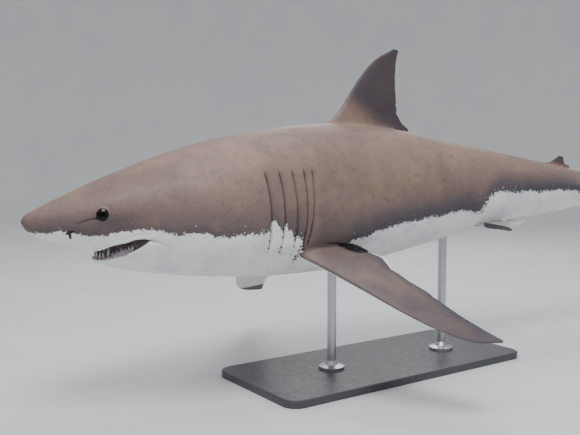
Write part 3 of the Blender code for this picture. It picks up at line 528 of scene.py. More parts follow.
def head_field(points):
    """Return about how far (..., 3) points lie outside the finished head."""
    s, y, z = points[..., 0], points[..., 1], points[..., 2]
    body = hull(s, y, z) + relief(s, y, z)
    eye = in_frame(points, EYE_CENTRE, EYE_AXES)
    past = np.hypot(eye[..., 0], eye[..., 1]) - EYE_OPENING
    near = np.abs(eye[..., 2] - EYE_SINK) < LID_REACH
    for away, width, height in LID_RIMS:
        body = body - near * height * bump(past - away, width)
    skin = carve_mouth(points, body)
    socket = np.maximum(past, -SOCKET_DEPTH - eye[..., 2])
    skin = soft_max(skin, -socket, SOCKET_ROUND)
    nose = in_frame(points, NOSTRIL_CENTRE, NOSTRIL_AXES)
    skin = soft_max(skin, -nostril_distance(nose), 0.08)
    flap, _ = segment_distance(nose, *NOSTRIL_FLAP)
    return soft_min(skin, flap - FLAP_RADIUS, 0.12)


def cut_edges(grid, d):
    """Return where the surface cuts the grid's edges along one axis, and the four cells round each."""
    shape = np.array(grid.shape)
    strides = np.array([shape[1] * shape[2], shape[2], 1])
    a = grid[tuple(slice(None, -1) if k == d else slice(None) for k in range(3))]
    b = grid[tuple(slice(1, None) if k == d else slice(None) for k in range(3))]
    cross = (a < 0) != (b < 0)
    at = np.argwhere(cross)
    a = a[cross]
    b = b[cross]
    spots = at.astype(float)
    spots[:, d] += a / (a - b)
    others = [k for k in range(3) if k != d]
    whole = ((at[:, others] > 0) & (at[:, others] < shape[others] - 1)).all(1)
    corner = at[whole] @ strides
    u = strides[(d + 1) % 3]
    v = strides[(d + 2) % 3]
    cells = np.stack([corner - u - v, corner - v, corner, corner - u], -1)
    turned = a[whole] > 0
    cells[turned] = cells[turned][:, ::-1]
    return spots[whole], cells


def surface_net(field, low, high, step):
    """Return points and quads of the surface where a field is zero, on a regular grid."""
    axes = [np.arange(a, b + step / 2, step) for a, b in zip(low, high)]
    yy, zz = np.meshgrid(axes[1], axes[2], indexing="ij")
    grid = np.stack([field(np.stack([np.full_like(yy, s), yy, zz], -1)) for s in axes[0]])
    cuts = [cut_edges(grid, d) for d in range(3)]
    spots, quads = (np.concatenate(rows) for rows in zip(*cuts))
    spots = np.repeat(spots, 4, axis=0)
    _, index = np.unique(quads.ravel(), return_inverse=True)
    count = np.bincount(index)
    points = np.stack([np.bincount(index, spots[:, k]) / count for k in range(3)], -1)
    return points * step + np.array([axis[0] for axis in axes]), index.reshape(-1, 4)


PROBE = 0.01                      # step with which a field's slope is read
LONGEST_PULL = 0.05


def pull_to_surface(points, field, rounds):
    """Move points onto the surface where a field is zero."""
    for _ in range(rounds):
        value = field(points)
        slope = np.zeros_like(points)
        for k in range(3):
            shift = np.zeros(3)
            shift[k] = PROBE
            slope[:, k] = (field(points + shift) - field(points - shift)) / (2 * PROBE)
        size = np.maximum((slope ** 2).sum(1), 0.05)
        move = -(value / size)[:, None] * slope
        length = np.linalg.norm(move, axis=1)
        points = points + move * np.minimum(1.0, LONGEST_PULL / np.maximum(length, 1e-9))[:, None]
    return points


def face_edges(faces):
    """Return the edges of equal faces as pairs of points, and how many faces share each."""
    count = faces.shape[1]
    pairs = np.concatenate([faces[:, [k, (k + 1) % count]] for k in range(count)])
    return np.unique(np.sort(pairs, axis=1), axis=0, return_counts=True)


def rim_points(faces):
    """Return the points on a mesh's open rim."""
    edges, times = face_edges(faces)
    return np.unique(edges[times == 1])


def neighbour_mean(points, edges):
    """Return the mean of each point's neighbours."""
    ends = np.concatenate([edges, edges[:, ::-1]])
    count = np.maximum(np.bincount(ends[:, 0], minlength=len(points)), 1)
    sums = [np.bincount(ends[:, 0], points[ends[:, 1], k], len(points)) for k in range(3)]
    return np.stack([total / count for total in sums], -1)


def drop_loose(points, faces):
    """Drop the points that no face uses."""
    used, index = np.unique(faces, return_inverse=True)
    return points[used], index.reshape(faces.shape)


# Corners of the grid that the head is drawn on.
HEAD_LOW = (-0.35, -6.6, -6.8)
HEAD_HIGH = (HEAD_END + 2 * HEAD_STEP, 6.6, 6.4)


def make_head_net():
    """Return the head's points and triangles, open at its rear rim."""
    points, faces = surface_net(head_field, HEAD_LOW, HEAD_HIGH, HEAD_STEP)
    points, faces = drop_loose(points, faces[(points[faces][:, :, 0] < HEAD_END).all(1)])
    edges, _ = face_edges(faces)
    rim = rim_points(faces)
    for _ in range(3):
        mean = neighbour_mean(points, edges)
        mean[rim] = points[rim]
        points = pull_to_surface(points * 0.4 + mean * 0.6, head_field, 1)
    points[rim, 0] = HEAD_END
    return thin_out(pull_to_surface(points, head_field, 2), faces)


def thin_out(points, faces):
    """Return the head's points and triangles with fewer of them where the skin is plain."""
    head = new_object("head_net", mesh_from("head_net", points, faces))
    thin = head.modifiers.new("thin", 'DECIMATE')
    thin.ratio = HEAD_SHARE
    mesh = applied(head)
    bpy.data.objects.remove(head, do_unlink=True)
    mesh.calc_loop_triangles()
    faces = np.empty(len(mesh.loop_triangles) * 3, int)
    mesh.loop_triangles.foreach_get("vertices", faces)
    return mesh_points(mesh), faces.reshape(-1, 3)


# ---------------------------------------------------------------- trunk rings
GILL_MIDDLE = (GILL_TOP + GILL_BOTTOM) / 2
GILL_HALF = (GILL_TOP - GILL_BOTTOM) / 2
gill_lean = curve(((20.0, 0.0), *GILL_SLITS, (30.5, 0.0)))
# How deep the skin lies at distances behind a slit's edge, for one flap: it overhangs, then eases back.
gill_depth = curve(((-0.35, 0.0), (-0.15, 0.03), (-0.03, 0.08), (0.0, 0.34), (0.05, 0.50), (0.12, 0.40),
                    (0.30, 0.20), (0.65, 0.06), (1.0, 0.0)))
# Stations of the rings round each slit, so that every slit's edge is a clean line.
GILL_RINGS = (-0.35, -0.22, -0.12, -0.04, 0.0, 0.045, 0.11, 0.2, 0.32, 0.5, 0.72)
TRUNK_END = 66.0
RING_GAPS = (0.45, 0.5, 0.36)     # distance between rings before the gills, on the trunk and on the stalk
PIT_DEPTH = 0.28
PIT_WIDTH = 0.45


def gill_relief(at, z):
    """Return how far the skin is drawn in by the gill slits, on the ring that starts at a station."""
    fade = 1.0 - ramp(np.abs((z - GILL_MIDDLE) / GILL_HALF), 0.72, 1.02)
    return max(float(gill_depth(at - station)) for station, _ in GILL_SLITS) * fade


def pit_relief(s, z):
    """Return how far the skin is drawn in by the pit above and below the root of the tail."""
    return PIT_DEPTH * bump(s - PIT_STATION, PIT_WIDTH) * ramp(np.abs(z), 0.9, 1.5)


def ring_stations():
    """Return the stations of the rings behind the head."""
    nape_gap, trunk_gap, stalk_gap = RING_GAPS
    first = np.arange(HEAD_END + 0.12, GILL_SLITS[0][0] - 0.6, nape_gap)
    gills = sorted(station + step for station, _ in GILL_SLITS for step in GILL_RINGS)
    gills = [s for i, s in enumerate(gills) if i == 0 or s - gills[i - 1] > 0.02]
    trunk = np.arange(gills[-1] + 0.3, TRUNK_END, trunk_gap)
    stalk = np.arange(trunk[-1] + 0.4, TAIL_TIP_ROOT - 0.2, stalk_gap)
    return np.concatenate([first, gills, trunk, stalk, [TAIL_TIP_ROOT]])


def trunk_ring(at):
    """Return one ring of the body behind the head, with its gills and hollows."""
    angle = 2 * math.pi * np.arange(RING_POINTS) / RING_POINTS
    height = section(np.full(RING_POINTS, at), angle)[:, 2]
    s = at + gill_lean(at) * np.clip(height, GILL_BOTTOM, GILL_TOP)
    ring = section(s, angle)
    fork = np.clip((s - STALK_BACK) / (TAIL_TIP_ROOT - STALK_BACK), 0.0, 1.0)
    ring[:, 1] *= 1 - STOCK_THINNING * fork
    inward = gill_relief(at, ring[:, 2]) * ramp(np.abs(ring[:, 1]), 2.0, 4.0)
    inward = inward + pit_relief(s, ring[:, 2])
    length = np.hypot(ring[:, 1], ring[:, 2])
    ring[:, 1:] *= (1 - inward / np.maximum(length, 0.5))[:, None]
    return ring


def stitch(first, second, points):
    """Return triangles that join two closed loops of point numbers, both sorted round the spine."""
    turns = [np.unwrap(np.arctan2(points[loop, 1], points[loop, 2])) for loop in (first, second)]
    i = j = 0
    faces = []
    while i < len(first) or j < len(second):
        next_i = turns[0][i + 1] if i + 1 < len(first) else turns[0][0] + 2 * math.pi
        next_j = turns[1][j + 1] if j + 1 < len(second) else turns[1][0] + 2 * math.pi
        a = first[i % len(first)]
        b = second[j % len(second)]
        if j >= len(second) or (i < len(first) and next_i <= next_j):
            faces.append((a, b, first[(i + 1) % len(first)]))
            i += 1
        else:
            faces.append((a, b, second[(j + 1) % len(second)]))
            j += 1
    return faces


def make_core():
    """Return the points and faces of head, trunk and tail stalk as one closed skin."""
    points, faces = make_head_net()
    rim = rim_points(faces)
    rim = rim[np.argsort(np.arctan2(points[rim, 1], points[rim, 2]))]
    rings = [trunk_ring(s) for s in ring_stations()]
    start = len(points)
    last = start + (len(rings) - 1) * RING_POINTS
    points = np.vstack([points, *rings])
    ring = points[start:start + RING_POINTS]
    order = np.argsort(np.arctan2(ring[:, 1], ring[:, 2]))
    faces = [tuple(face) for face in faces.tolist()] + stitch(rim, start + order, points)
    faces += band_faces(start, len(rings), RING_POINTS)
    faces.append(tuple(range(last, last + RING_POINTS)))
    return points, faces


# ---------------------------------------------------------------- meshes
def new_object(name, data):
    """Link a mesh, a light or a camera as an object."""
    obj = bpy.data.objects.new(name, data)
    bpy.context.scene.collection.objects.link(obj)
    return obj


def mesh_from(name, points, faces):
    """Make a smooth mesh of triangles from world points and faces, facing out."""
    mesh = bpy.data.meshes.new(name)
    mesh.from_pydata(np.asarray(points).tolist(), [], [tuple(int(k) for k in face) for face in faces])
    work = bmesh.new()
    work.from_mesh(mesh)
    bmesh.ops.triangulate(work, faces=work.faces)
    bmesh.ops.recalc_face_normals(work, faces=work.faces)
    for face in work.faces:
        face.smooth = True
    work.to_mesh(mesh)
    work.free()
    return mesh


def mesh_points(mesh):
    """Return a mesh's points as rows."""
    points = np.empty(len(mesh.vertices) * 3)
    mesh.vertices.foreach_get("co", points)
    return points.reshape(-1, 3)


def band_faces(first, rings, count):
    """Return the quads between closed rings of points that follow each other from a number on."""
    faces = []
    for a in range(first, first + (rings - 1) * count, count):
        for k in range(count):
            n = (k + 1) % count
            faces.append((a + k, a + n, a + count + n, a + count + k))
    return faces


def loft_faces(rings, count):
    """Return the quads and flat caps of a closed loft."""
    caps = [tuple(range(count)), tuple(range((rings - 1) * count, rings * count))]
    return band_faces(0, rings, count) + caps


# ---------------------------------------------------------------- fins
FIN_EDGE = 0.03                   # half thickness of every fin's thin edge, body units
FIN_AXES_SHIFT = 3.0              # a paired fin follows the spine's direction this far behind its origin
# Nicks in the trailing edges: (share of the span, depth, width).
DORSAL_NICKS = ((0.17, 0.16, 0.016), (0.21, 0.30, 0.013), (0.25, 0.22, 0.012), (0.29, 0.26, 0.010),
                (0.34, 0.12, 0.010), (0.48, 0.10, 0.012), (0.63, 0.14, 0.010), (0.80, 0.09, 0.010))
PECTORAL_NICKS = ((0.235, 0.24, 0.016), (0.565, 0.16, 0.014), (0.74, 0.08, 0.01))
CLASPER_SIDES = 20
CLASPER_TIP = (66.0, 67.05)       # the stations between which a clasper rounds off
CLASPER_GROOVE = (1.2, 0.35, 0.12)    # angle, width, and depth as a share of the radius


def foil(thickness):
    """Return (share of chord, half thickness) rows of a round-nosed section."""
    c = (1 - np.cos(np.pi * np.arange(FIN_CHORD + 1) / FIN_CHORD)) / 2
    shape = 0.2969 * np.sqrt(c) - 0.126 * c - 0.3516 * c ** 2 + 0.2843 * c ** 3 - 0.1015 * c ** 4
    return c, np.maximum(5 * thickness * shape, FIN_EDGE * np.minimum(1.0, 8 * c))


def edge_line(table):
    """Return a function from span to the (along, out) point of a fin's edge."""
    along = curve([(t, a) for t, a, _ in table])
    out = curve([(t, o) for t, _, o in table])
    return lambda t: np.array([along(t), out(t)])


def fin_mesh(name, edges, thickness, count, to_world, root=-0.12, wear=()):
    """Make a closed fin from its two edges; to_world places (along, out, height) rows."""
    lead, trail = (edge_line(edge) for edge in edges)
    thick = curve(thickness)
    tips = np.sin(np.pi / 2 * np.arange(count + 1) / count)
    rings = []
    for t in np.concatenate([np.linspace(root, 0.0, 5)[:-1], tips]):
        c, h = foil(thick(t))
        a, b = lead(t), trail(t)
        if wear:
            b = b - (b - a) / np.linalg.norm(b - a) * worn(wear, t)
        path = a + (b - a) * np.concatenate([c, c[:0:-1]])[:, None]
        rings.append(np.column_stack([path, np.concatenate([h, -h[:0:-1]])]))
    faces = loft_faces(len(rings), len(rings[0]))
    return mark(new_object(name, mesh_from(name, to_world(np.vstack(rings)), faces)), name)


def worn(nicks, t):
    """Return how far a trailing edge is worn in at a share of the span; nicks are (share, depth, width)."""
    return sum(depth * math.exp(-((t - at) / width) ** 2) for at, depth, width in nicks)


def upright(rows):
    """Place rows of a fin that stands on the body's middle plane."""
    return place(rows[:, [0, 2, 1]])


def fin_frame(origin, droop, side):
    """Return a paired fin's root in metres and its (along, outward, upward) axes."""
    along, right, up = (axis @ POSE.T for axis in spine_axes(np.array(origin[0] + FIN_AXES_SHIFT)))
    root = place([(origin[0], side * abs(origin[1]), origin[2])])[0]
    outward = right * (side * math.cos(droop)) - up * math.sin(droop)
    normal = right * (side * math.sin(droop)) + up * math.cos(droop)
    return root, np.stack([along, outward, normal])


def side_fin_placer(origin, droop, side):
    """Return a function that places a paired fin's (along, out, height) rows."""
    root, axes = fin_frame(origin, droop, side)
    return lambda rows: root + rows @ (axes * UNIT)


def fin_rows(world, origin, droop, side):
    """Return (along, out, height) rows of world points in a paired fin's own frame."""
    root, axes = fin_frame(origin, droop, side)
    return (world - root) @ axes.T / UNIT


def make_clasper(side, name):
    """Make one clasper, a tapering finger with a groove, behind the pelvic fin."""
    stations = [s for s, _, _ in CLASPER_ROUTE]
    across = curve([(s, y) for s, y, _ in CLASPER_ROUTE])
    height = curve([(s, z) for s, _, z in CLASPER_ROUTE])
    radius = curve(list(zip(stations, CLASPER_RADII)))
    groove_at, groove_width, groove_depth = CLASPER_GROOVE
    angle = 2 * math.pi * np.arange(CLASPER_SIDES) / CLASPER_SIDES
    groove = 1 - groove_depth * bump(angle - groove_at, groove_width)
    rings = []
    for s in np.linspace(stations[0], stations[-1], 26):
        tip = math.sqrt(max(0.0, 1 - ramp(s, *CLASPER_TIP) ** 2)) * 0.8 + 0.2
        r = radius(s) * tip * groove
        y = side * across(s) + r * np.cos(angle)
        rings.append(np.column_stack([np.full(CLASPER_SIDES, s), y, height(s) + r * np.sin(angle)]))
    mesh = mesh_from(name, place(np.vstack(rings)), loft_faces(len(rings), CLASPER_SIDES))
    return mark(new_object(name, mesh), name)


# The skin's parts, in the order of their face numbers; and how wide each fin's root blends into the body.
PARTS = ("body", "dorsal", "second_dorsal", "anal", "upper_lobe", "lower_lobe",
         "pectoral_left", "pectoral_right", "pelvic_left", "pelvic_right", "clasper_left", "clasper_right")
ROOT_REACH = {"dorsal": 1.0, "second_dorsal": 0.35, "anal": 0.35, "upper_lobe": 0.9, "lower_lobe": 0.9,
              "pectoral": 1.0, "pelvic": 0.5, "clasper": 0.25}
DORSAL_FREE_TIP = 46.3            # behind this station the dorsal fin only lies on the back
FREE_TIP_REACH = 0.25             # share of the dorsal fin's blend that is left there
SEAM_MERGE = 0.045
SEAM_EDGE = 0.3
SEAM_ROUNDS = 16
SEAM_PULL = 0.6


def join(objects, name):
    """Merge objects into one mesh."""
    work = bmesh.new()
    for obj in objects:
        work.from_mesh(obj.data)
        bpy.data.objects.remove(obj, do_unlink=True)
    mesh = bpy.data.meshes.new(name)
    work.to_mesh(mesh)
    work.free()
    for part in PARTS:
        mesh.materials.append(bpy.data.materials[part])
    return new_object(name, mesh)


def applied(obj):
    """Return an object's mesh with its modifiers applied."""
    bpy.context.view_layer.update()
    graph = bpy.context.evaluated_depsgraph_get()
    return bpy.data.meshes.new_from_object(obj.evaluated_get(graph))


def unite(obj, tool):
    """Unite a closed mesh with another and drop the other."""
    mod = obj.modifiers.new("unite", 'BOOLEAN')
    mod.operation = 'UNION'
    mod.solver = 'MANIFOLD'
    mod.object = tool
    mesh = applied(obj)
    obj.modifiers.clear()
    obj.data = mesh
    bpy.data.objects.remove(tool, do_unlink=True)
    return obj


def mark(obj, part):
    """Note on every face which part of the skin it belongs to."""
    for name in PARTS[len(obj.data.materials):]:
        obj.data.materials.append(bpy.data.materials.get(name) or bpy.data.materials.new(name))
    obj.data.polygons.foreach_set("material_index", [PARTS.index(part)] * len(obj.data.polygons))
    return obj


def seam_points(work):
    """Return the points where faces of two different parts meet."""
    return [v for v in work.verts if len({f.material_index for f in v.link_faces}) > 1]


def root_reach(vert):
    """Return how wide the blend is at a point of a seam."""
    name = PARTS[max(f.material_index for f in vert.link_faces)]
    reach = ROOT_REACH[name.replace("_left", "").replace("_right", "")]
    if name == "dorsal" and unplace(np.array([vert.co]))[0, 0] > DORSAL_FREE_TIP:
        reach *= FREE_TIP_REACH
    return reach * UNIT


def seam_weights(work):
    """Return how strongly each point is drawn into the blend along the nearest seam."""
    seam = seam_points(work)
    tree = KDTree(len(seam))
    for i, vert in enumerate(seam):
        tree.insert(vert.co, i)
    tree.balance()
    reaches = [root_reach(vert) for vert in seam]
    weights = np.zeros(len(work.verts))
    work.verts.index_update()
    for vert in work.verts:
        _, i, away = tree.find(vert.co)
        if away < reaches[i]:
            weights[vert.index] = 1 - away / reaches[i]
    return weights


def triangulate(work):
    """Cut the faces with more than three corners into triangles."""
    bmesh.ops.triangulate(work, faces=[face for face in work.faces if len(face.verts) > 3])


def refine_seams(work):
    """Cut the long edges near the seams, so that the blend comes out smooth."""
    weights = seam_weights(work)
    long_edges = [edge for edge in work.edges if min(weights[vert.index] for vert in edge.verts) > 0
                  and edge.calc_length() > SEAM_EDGE * UNIT]
    bmesh.ops.subdivide_edges(work, edges=long_edges, cuts=1)
    triangulate(work)


def soften_roots(obj):
    """Blend every fin's root into the body."""
    work = bmesh.new()
    work.from_mesh(obj.data)
    triangulate(work)
    bmesh.ops.remove_doubles(work, verts=seam_points(work), dist=SEAM_MERGE * UNIT)
    refine_seams(work)
    weights = seam_weights(work)
    points = np.array([vert.co for vert in work.verts])
    edges = np.array([[vert.index for vert in edge.verts] for edge in work.edges])
    near = edges[weights[edges].max(1) > 0]
    for _ in range(SEAM_ROUNDS):
        points += (weights * SEAM_PULL)[:, None] * (neighbour_mean(points, near) - points)
    for vert, point in zip(work.verts, points):
        vert.co = point
    for face in work.faces:
        face.smooth = True
    work.to_mesh(obj.data)
    work.free()
    return obj


# Half thicknesses over the span.
DORSAL_THICKNESS = ((-0.12, 2.0), (0.1, 1.25), (1, 0.22))
SMALL_THICKNESS = ((-0.12, 0.5), (0, 0.35), (1, 0.1))
LOBE_THICKNESS = ((-0.05, 1.3), (0.15, 1.05), (0.5, 0.6), (1, 0.16))
PECTORAL_THICKNESS = ((-0.12, 1.9), (0.1, 1.35), (0.5, 0.75), (1, 0.18))
PELVIC_THICKNESS = ((-0.12, 0.9), (0, 0.6), (1, 0.12))
LOBE_ROOT = -0.05


def fin_groups():
    """Make every fin, in groups that don't touch each other."""
    second_dorsal = (SECOND_DORSAL_LEAD, SECOND_DORSAL_TRAIL)
    upper_lobe = (UPPER_LOBE_LEAD, UPPER_LOBE_TRAIL)
    lower_lobe = (LOWER_LOBE_LEAD, LOWER_LOBE_TRAIL)
    first = [
        fin_mesh("dorsal", (DORSAL_LEAD, DORSAL_TRAIL), DORSAL_THICKNESS, 52, upright, wear=DORSAL_NICKS),
        fin_mesh("second_dorsal", second_dorsal, SMALL_THICKNESS, 18, upright),
        fin_mesh("anal", (ANAL_LEAD, ANAL_TRAIL), SMALL_THICKNESS, 18, upright),
        fin_mesh("upper_lobe", upper_lobe, LOBE_THICKNESS, 54, upright, LOBE_ROOT),
    ]
    second = [fin_mesh("lower_lobe", lower_lobe, LOBE_THICKNESS, 54, upright, LOBE_ROOT)]
    for side, hand in SIDES:
        pectoral = side_fin_placer(PECTORAL_ORIGIN, PECTORAL_DROOP, side)
        pelvic = side_fin_placer(PELVIC_ORIGIN, PELVIC_DROOP, side)
        first.append(fin_mesh(f"pectoral_{hand}", (PECTORAL_LEAD, PECTORAL_TRAIL), PECTORAL_THICKNESS,
                              84, pectoral, wear=PECTORAL_NICKS))
        first.append(fin_mesh(f"pelvic_{hand}", (PELVIC_LEAD, PELVIC_TRAIL), PELVIC_THICKNESS, 22, pelvic))
        second.append(make_clasper(side, f"clasper_{hand}"))
    return join(first, "fins_a"), join(second, "fins_b")


def make_skin():
    """Make the one closed skin over head, trunk, tail and fins."""
    points, faces = make_core()
    skin = mark(new_object("shark_skin", mesh_from("shark_skin", place(points), faces)), "body")
    for fins in fin_groups():
        skin = unite(skin, fins)
    return soften_roots(skin)


# ---------------------------------------------------------------- teeth
TOOTH_ROOT = 0.35
TOOTH_SINK = 0.10                 # how much deeper the last teeth of a row sit in the gum
SINK_RANGE = (0.55, 0.9)          # the teeth sink between these places of their row
TOOTH_THICKNESS = 0.1
TOOTH_WIDTH = 0.41                # half width as a share of the room each tooth has
TOOTH_TAPER = 0.6                 # how much narrower the last tooth is than the first
TOOTH_LEAN = 0.16                 # greatest lean of a tip to one side, as a share of the width
TOOTH_TILT = (-0.12, 0.08)        # lean outward, along the row, and spread of the heights
TOOTH_TURN = (-0.1, 0.1)
TOOTH_SPREAD = (0.85, 1.15)
ROOT_TAPER = 0.7
BACK_FULLNESS = 0.55              # how full a tooth's back is beside its front
BLADE_EDGE = 0.006
BLADE_ROWS = 22
BLADE_COLUMNS = (-1.0, -0.8, -0.4, 0.0, 0.4, 0.8, 1.0)
SERRATION = 0.035


def row_point(row, t):
    """Return the point of a tooth row's arch at t from -1 to 1, on its lip line."""
    s = row["front"] + ROW_REACH * t * t
    return np.array([s, row["spread"] * t, float(row["lip"](s))])


def row_direction(row, t):
    """Return the level direction along a tooth row at t."""
    run = np.array([2 * ROW_REACH * t, row["spread"], 0.0])
    return run / np.linalg.norm(run)


def tooth_places(row):
    """Return (t, width) for each tooth; teeth shrink from the middle of the row to its ends."""
    steps = np.linspace(0, 1, 101)
    samples = np.array([row_point(row, t) for t in steps])
    run = np.concatenate([[0.0], np.cumsum(np.hypot(*np.diff(samples[:, :2], axis=0).T))])
    half = row["teeth"] // 2
    widths = [1.0 - TOOTH_TAPER * i / half for i in range(half)]
    unit = run[-1] / sum(widths)
    places = []
    start = 0.0
    for width in widths:
        t = float(np.interp(start + width * unit / 2, run, steps))
        start += width * unit
        places += [(t, width * unit), (-t, width * unit)]
    return places


def blade_faces():
    """Return the faces of a tooth: front and back, then both side edges, then both ends."""
    columns = len(BLADE_COLUMNS)
    size = (BLADE_ROWS + 1) * columns
    faces = []
    for row in range(0, BLADE_ROWS * columns, columns):
        for a in range(row, row + columns - 1):
            faces.append((a, a + 1, a + columns + 1, a + columns))
            faces.append((size + a, size + a + columns, size + a + columns + 1, size + a + 1))
        for a in (row, row + columns - 1):
            faces.append((a, a + columns, size + a + columns, size + a))
    for row in (0, BLADE_ROWS * columns):
        faces += [(a, a + 1, size + a + 1, size + a) for a in range(row, row + columns - 1)]
    return faces


def blade(width, show, rng):
    """Return (across, height, depth) points of one serrated tooth and its faces."""
    front = []
    behind = []
    lean = rng.uniform(-TOOTH_LEAN, TOOTH_LEAN)
    for i in range(BLADE_ROWS + 1):
        height = -TOOTH_ROOT + (TOOTH_ROOT + show) * (i / BLADE_ROWS)
        crown = max(0.0, height / show)
        buried = max(0.0, -height / TOOTH_ROOT)
        notch = SERRATION * (1 if i % 2 else -1) * (0 < crown < 0.95)
        half = width * TOOTH_WIDTH * (1 - crown ** 1.15) * (1 - ROOT_TAPER * buried)
        half = half * (1 + notch) + BLADE_EDGE
        thick = TOOTH_THICKNESS * (1 - 0.8 * crown)
        for column in BLADE_COLUMNS:
            across = column * half + width * lean * crown
            swell = thick * (1 - column * column)
            front.append((across, height, swell + BLADE_EDGE))
            behind.append((across, height, -BACK_FULLNESS * swell - BLADE_EDGE))
    return np.array(front + behind), blade_faces()


def make_teeth(name, row, seed):
    """Make one jaw's row of serrated teeth."""
    rng = np.random.default_rng(seed)
    points = []
    faces = []
    places = tooth_places(row)
    widest = max(width for _, width in places)
    up = np.array([0.0, 0.0, row["up"]])
    for i, (t, width) in enumerate(places):
        along = row_direction(row, t)
        outward = np.array([-along[1], along[0], 0.0])
        if outward[0] > 0:
            outward = -outward
        lift = up + outward * rng.uniform(*TOOTH_TILT)
        lift += along * rng.uniform(*TOOTH_TURN)
        level = gum_level(row, t) - TOOTH_SINK * float(ramp(abs(t), *SINK_RANGE))
        gum = row_point(row, t) + up * level
        show = row["show"] * row["heights"][i // 2 % len(row["heights"])] * width / widest
        show *= rng.uniform(*TOOTH_SPREAD)
        rows, tooth_faces = blade(width, show, rng)
        start = sum(len(p) for p in points)
        points.append(gum + rows[:, :1] * along + rows[:, 1:2] * lift + rows[:, 2:] * outward)
        faces += [tuple(start + k for k in face) for face in tooth_faces]
    teeth = new_object(name, mesh_from(name, place(np.vstack(points)), faces))
    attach(teeth, "root")
    return teeth


# ---------------------------------------------------------------- eyeballs
EYE_RINGS = 28
EYE_SIDES = 48
CORNEA = (0.02, 0.3)              # how far the clear front stands up, and how wide it is


def make_eyeball(side, hand):
    """Make one eyeball with a slightly raised clear front."""
    angle = 2 * math.pi * np.arange(EYE_SIDES) / EYE_SIDES
    raised, width = CORNEA
    rows = []
    reach = []
    for i in range(1, EYE_RINGS):
        tilt = math.pi * i / EYE_RINGS
        front = tilt < math.pi / 2
        r = EYE_RADIUS * math.sin(tilt)
        h = EYE_DEPTH_RADIUS * math.cos(tilt) + raised * float(bump(r, width)) * front
        rows.append(np.column_stack([r * np.cos(angle), r * np.sin(angle), np.full(EYE_SIDES, h)]))
        reach += [r if front else EYE_RADIUS] * EYE_SIDES
    mirror = (1, side, 1)
    points = place(np.vstack(rows) @ (EYE_AXES * mirror) + EYE_CENTRE * mirror)
    name = f"eyeball_{hand}"
    ball = new_object(name, mesh_from(name, points, loft_faces(EYE_RINGS - 1, EYE_SIDES)))
    store(ball, "iris", np.array(reach) / EYE_RADIUS)
    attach(ball, "root")
    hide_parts(f"eye_{hand}")
    return ball


def store(obj, name, values):
    """Keep one number per point on a mesh, for its material."""
    layer = obj.data.attributes.new(name, 'FLOAT', 'POINT')
    layer.data.foreach_set("value", np.asarray(values, np.float32))


# ---------------------------------------------------------------- colour pattern
# Height of the border between taupe and white at stations, and how ragged it is there.
BOUNDARY = curve(((0.0, -0.95), (1.3, -1.05), (2.4, -1.15), (3.2, -1.0), (4.6, -1.25), (6.6, -1.45),
                  (8.8, -1.2), (10.8, -1.1), (13.4, -1.8), (15.7, -1.65), (17.4, -2.5), (21.0, -2.1),
                  (22.15, -2.25), (22.5, -1.2), (22.9, -1.3), (23.3, -1.9), (23.8, -2.8), (23.98, -1.7),
                  (24.2, -2.1), (24.7, -2.6), (25.35, -3.1), (25.5, -2.95), (26.1, -3.4), (26.5, -4.6),
                  (27.0, -5.4), (32.2, -5.3), (33.0, -4.1), (35.2, -4.2), (36.5, -3.65), (40.2, -3.2),
                  (42.9, -3.0), (47.2, -2.65), (52.8, -2.35), (55.2, -2.85), (55.9, -2.5), (57.0, -1.3),
                  (57.8, -0.85), (58.8, -0.45), (59.8, -0.3), (61.8, -0.4), (64.8, -0.3), (68.4, -0.32),
                  (71.8, -0.25), (74.8, -0.55), (79.0, -1.0), (82.0, -1.6), (84.0, -3.0), (90.0, -4.0)))
RAGGED = curve(((0, 0.25), (8, 0.35), (14, 0.5), (20, 0.7), (24, 0.8), (28, 1.2), (32, 0.7), (36, 0.5),
                (54, 0.55), (55.2, 1.0), (56.4, 2.2), (57.6, 1.2), (59, 0.6), (64, 0.6), (80, 0.5),
                (90, 0.4)))
SLATE_SHADE = 1.5                 # a shade above 0 is taupe, one below 0 white
WHITE_SHADE = -1.0
PECTORAL_TIP = (14.5, 17.0)       # the pectoral fins turn black underneath from here to there on their span
PECTORAL_SHADING = (6.0, 13.0)       # and darker above with painted shade, growing from here to there
WHITE_EDGE = (1.2, 4.6)           # their trailing edge is white between these places
SPOT_STATION = 26.2               # a speckled spot lies in front of the pectoral fins
SPOT_WIDTH = 0.7

# The black armpit patch: (station, height, half width) on the body, (along, out, half width) on the fin.
AXILLA_BODY = ((29.2, -4.15, 0.04), (31.0, -4.38, 0.12), (31.9, -4.72, 0.28), (32.9, -4.98, 0.38),
               (34.4, -5.47, 0.4), (36.6, -6.2, 0.22))
AXILLA_FIN = ((5.0, -0.6, 0.35), (5.6, 0.15, 0.45), (6.3, 0.55, 0.72), (7.2, 0.6, 0.62), (8.3, 0.5, 0.35))
PELVIC_PATCH = ((1.85, 0.8), (4.4, 1.6))  # line of the dark patch on each pelvic fin, in the fin's frame
PELVIC_PATCH_RADIUS = 0.7
FREE_TIP_CREASE = (45.6, 48.5, 0.1)        # line of painted shade under the dorsal fin's free tip: from, to, and height over the back


def point_parts(mesh):
    """Return the number of the part that each point of a mesh belongs to."""
    parts = np.zeros(len(mesh.vertices), int)
    for face in mesh.polygons:
        if face.material_index:
            parts[list(face.vertices)] = face.material_index
    return parts


def chord_share(lead, trail, out, along):
    """Return how far back points lie in a fin's chord at their span."""
    spans = np.linspace(-0.12, 1, 60)
    lead_rows = np.array([edge_line(lead)(t) for t in spans])
    trail_rows = np.array([edge_line(trail)(t) for t in spans])
    front = np.interp(out, lead_rows[:, 1], lead_rows[:, 0])
    rear = np.interp(out, np.maximum.accumulate(trail_rows[:, 1]), trail_rows[:, 0])
    return (along - front) / np.maximum(rear - front, 0.3)


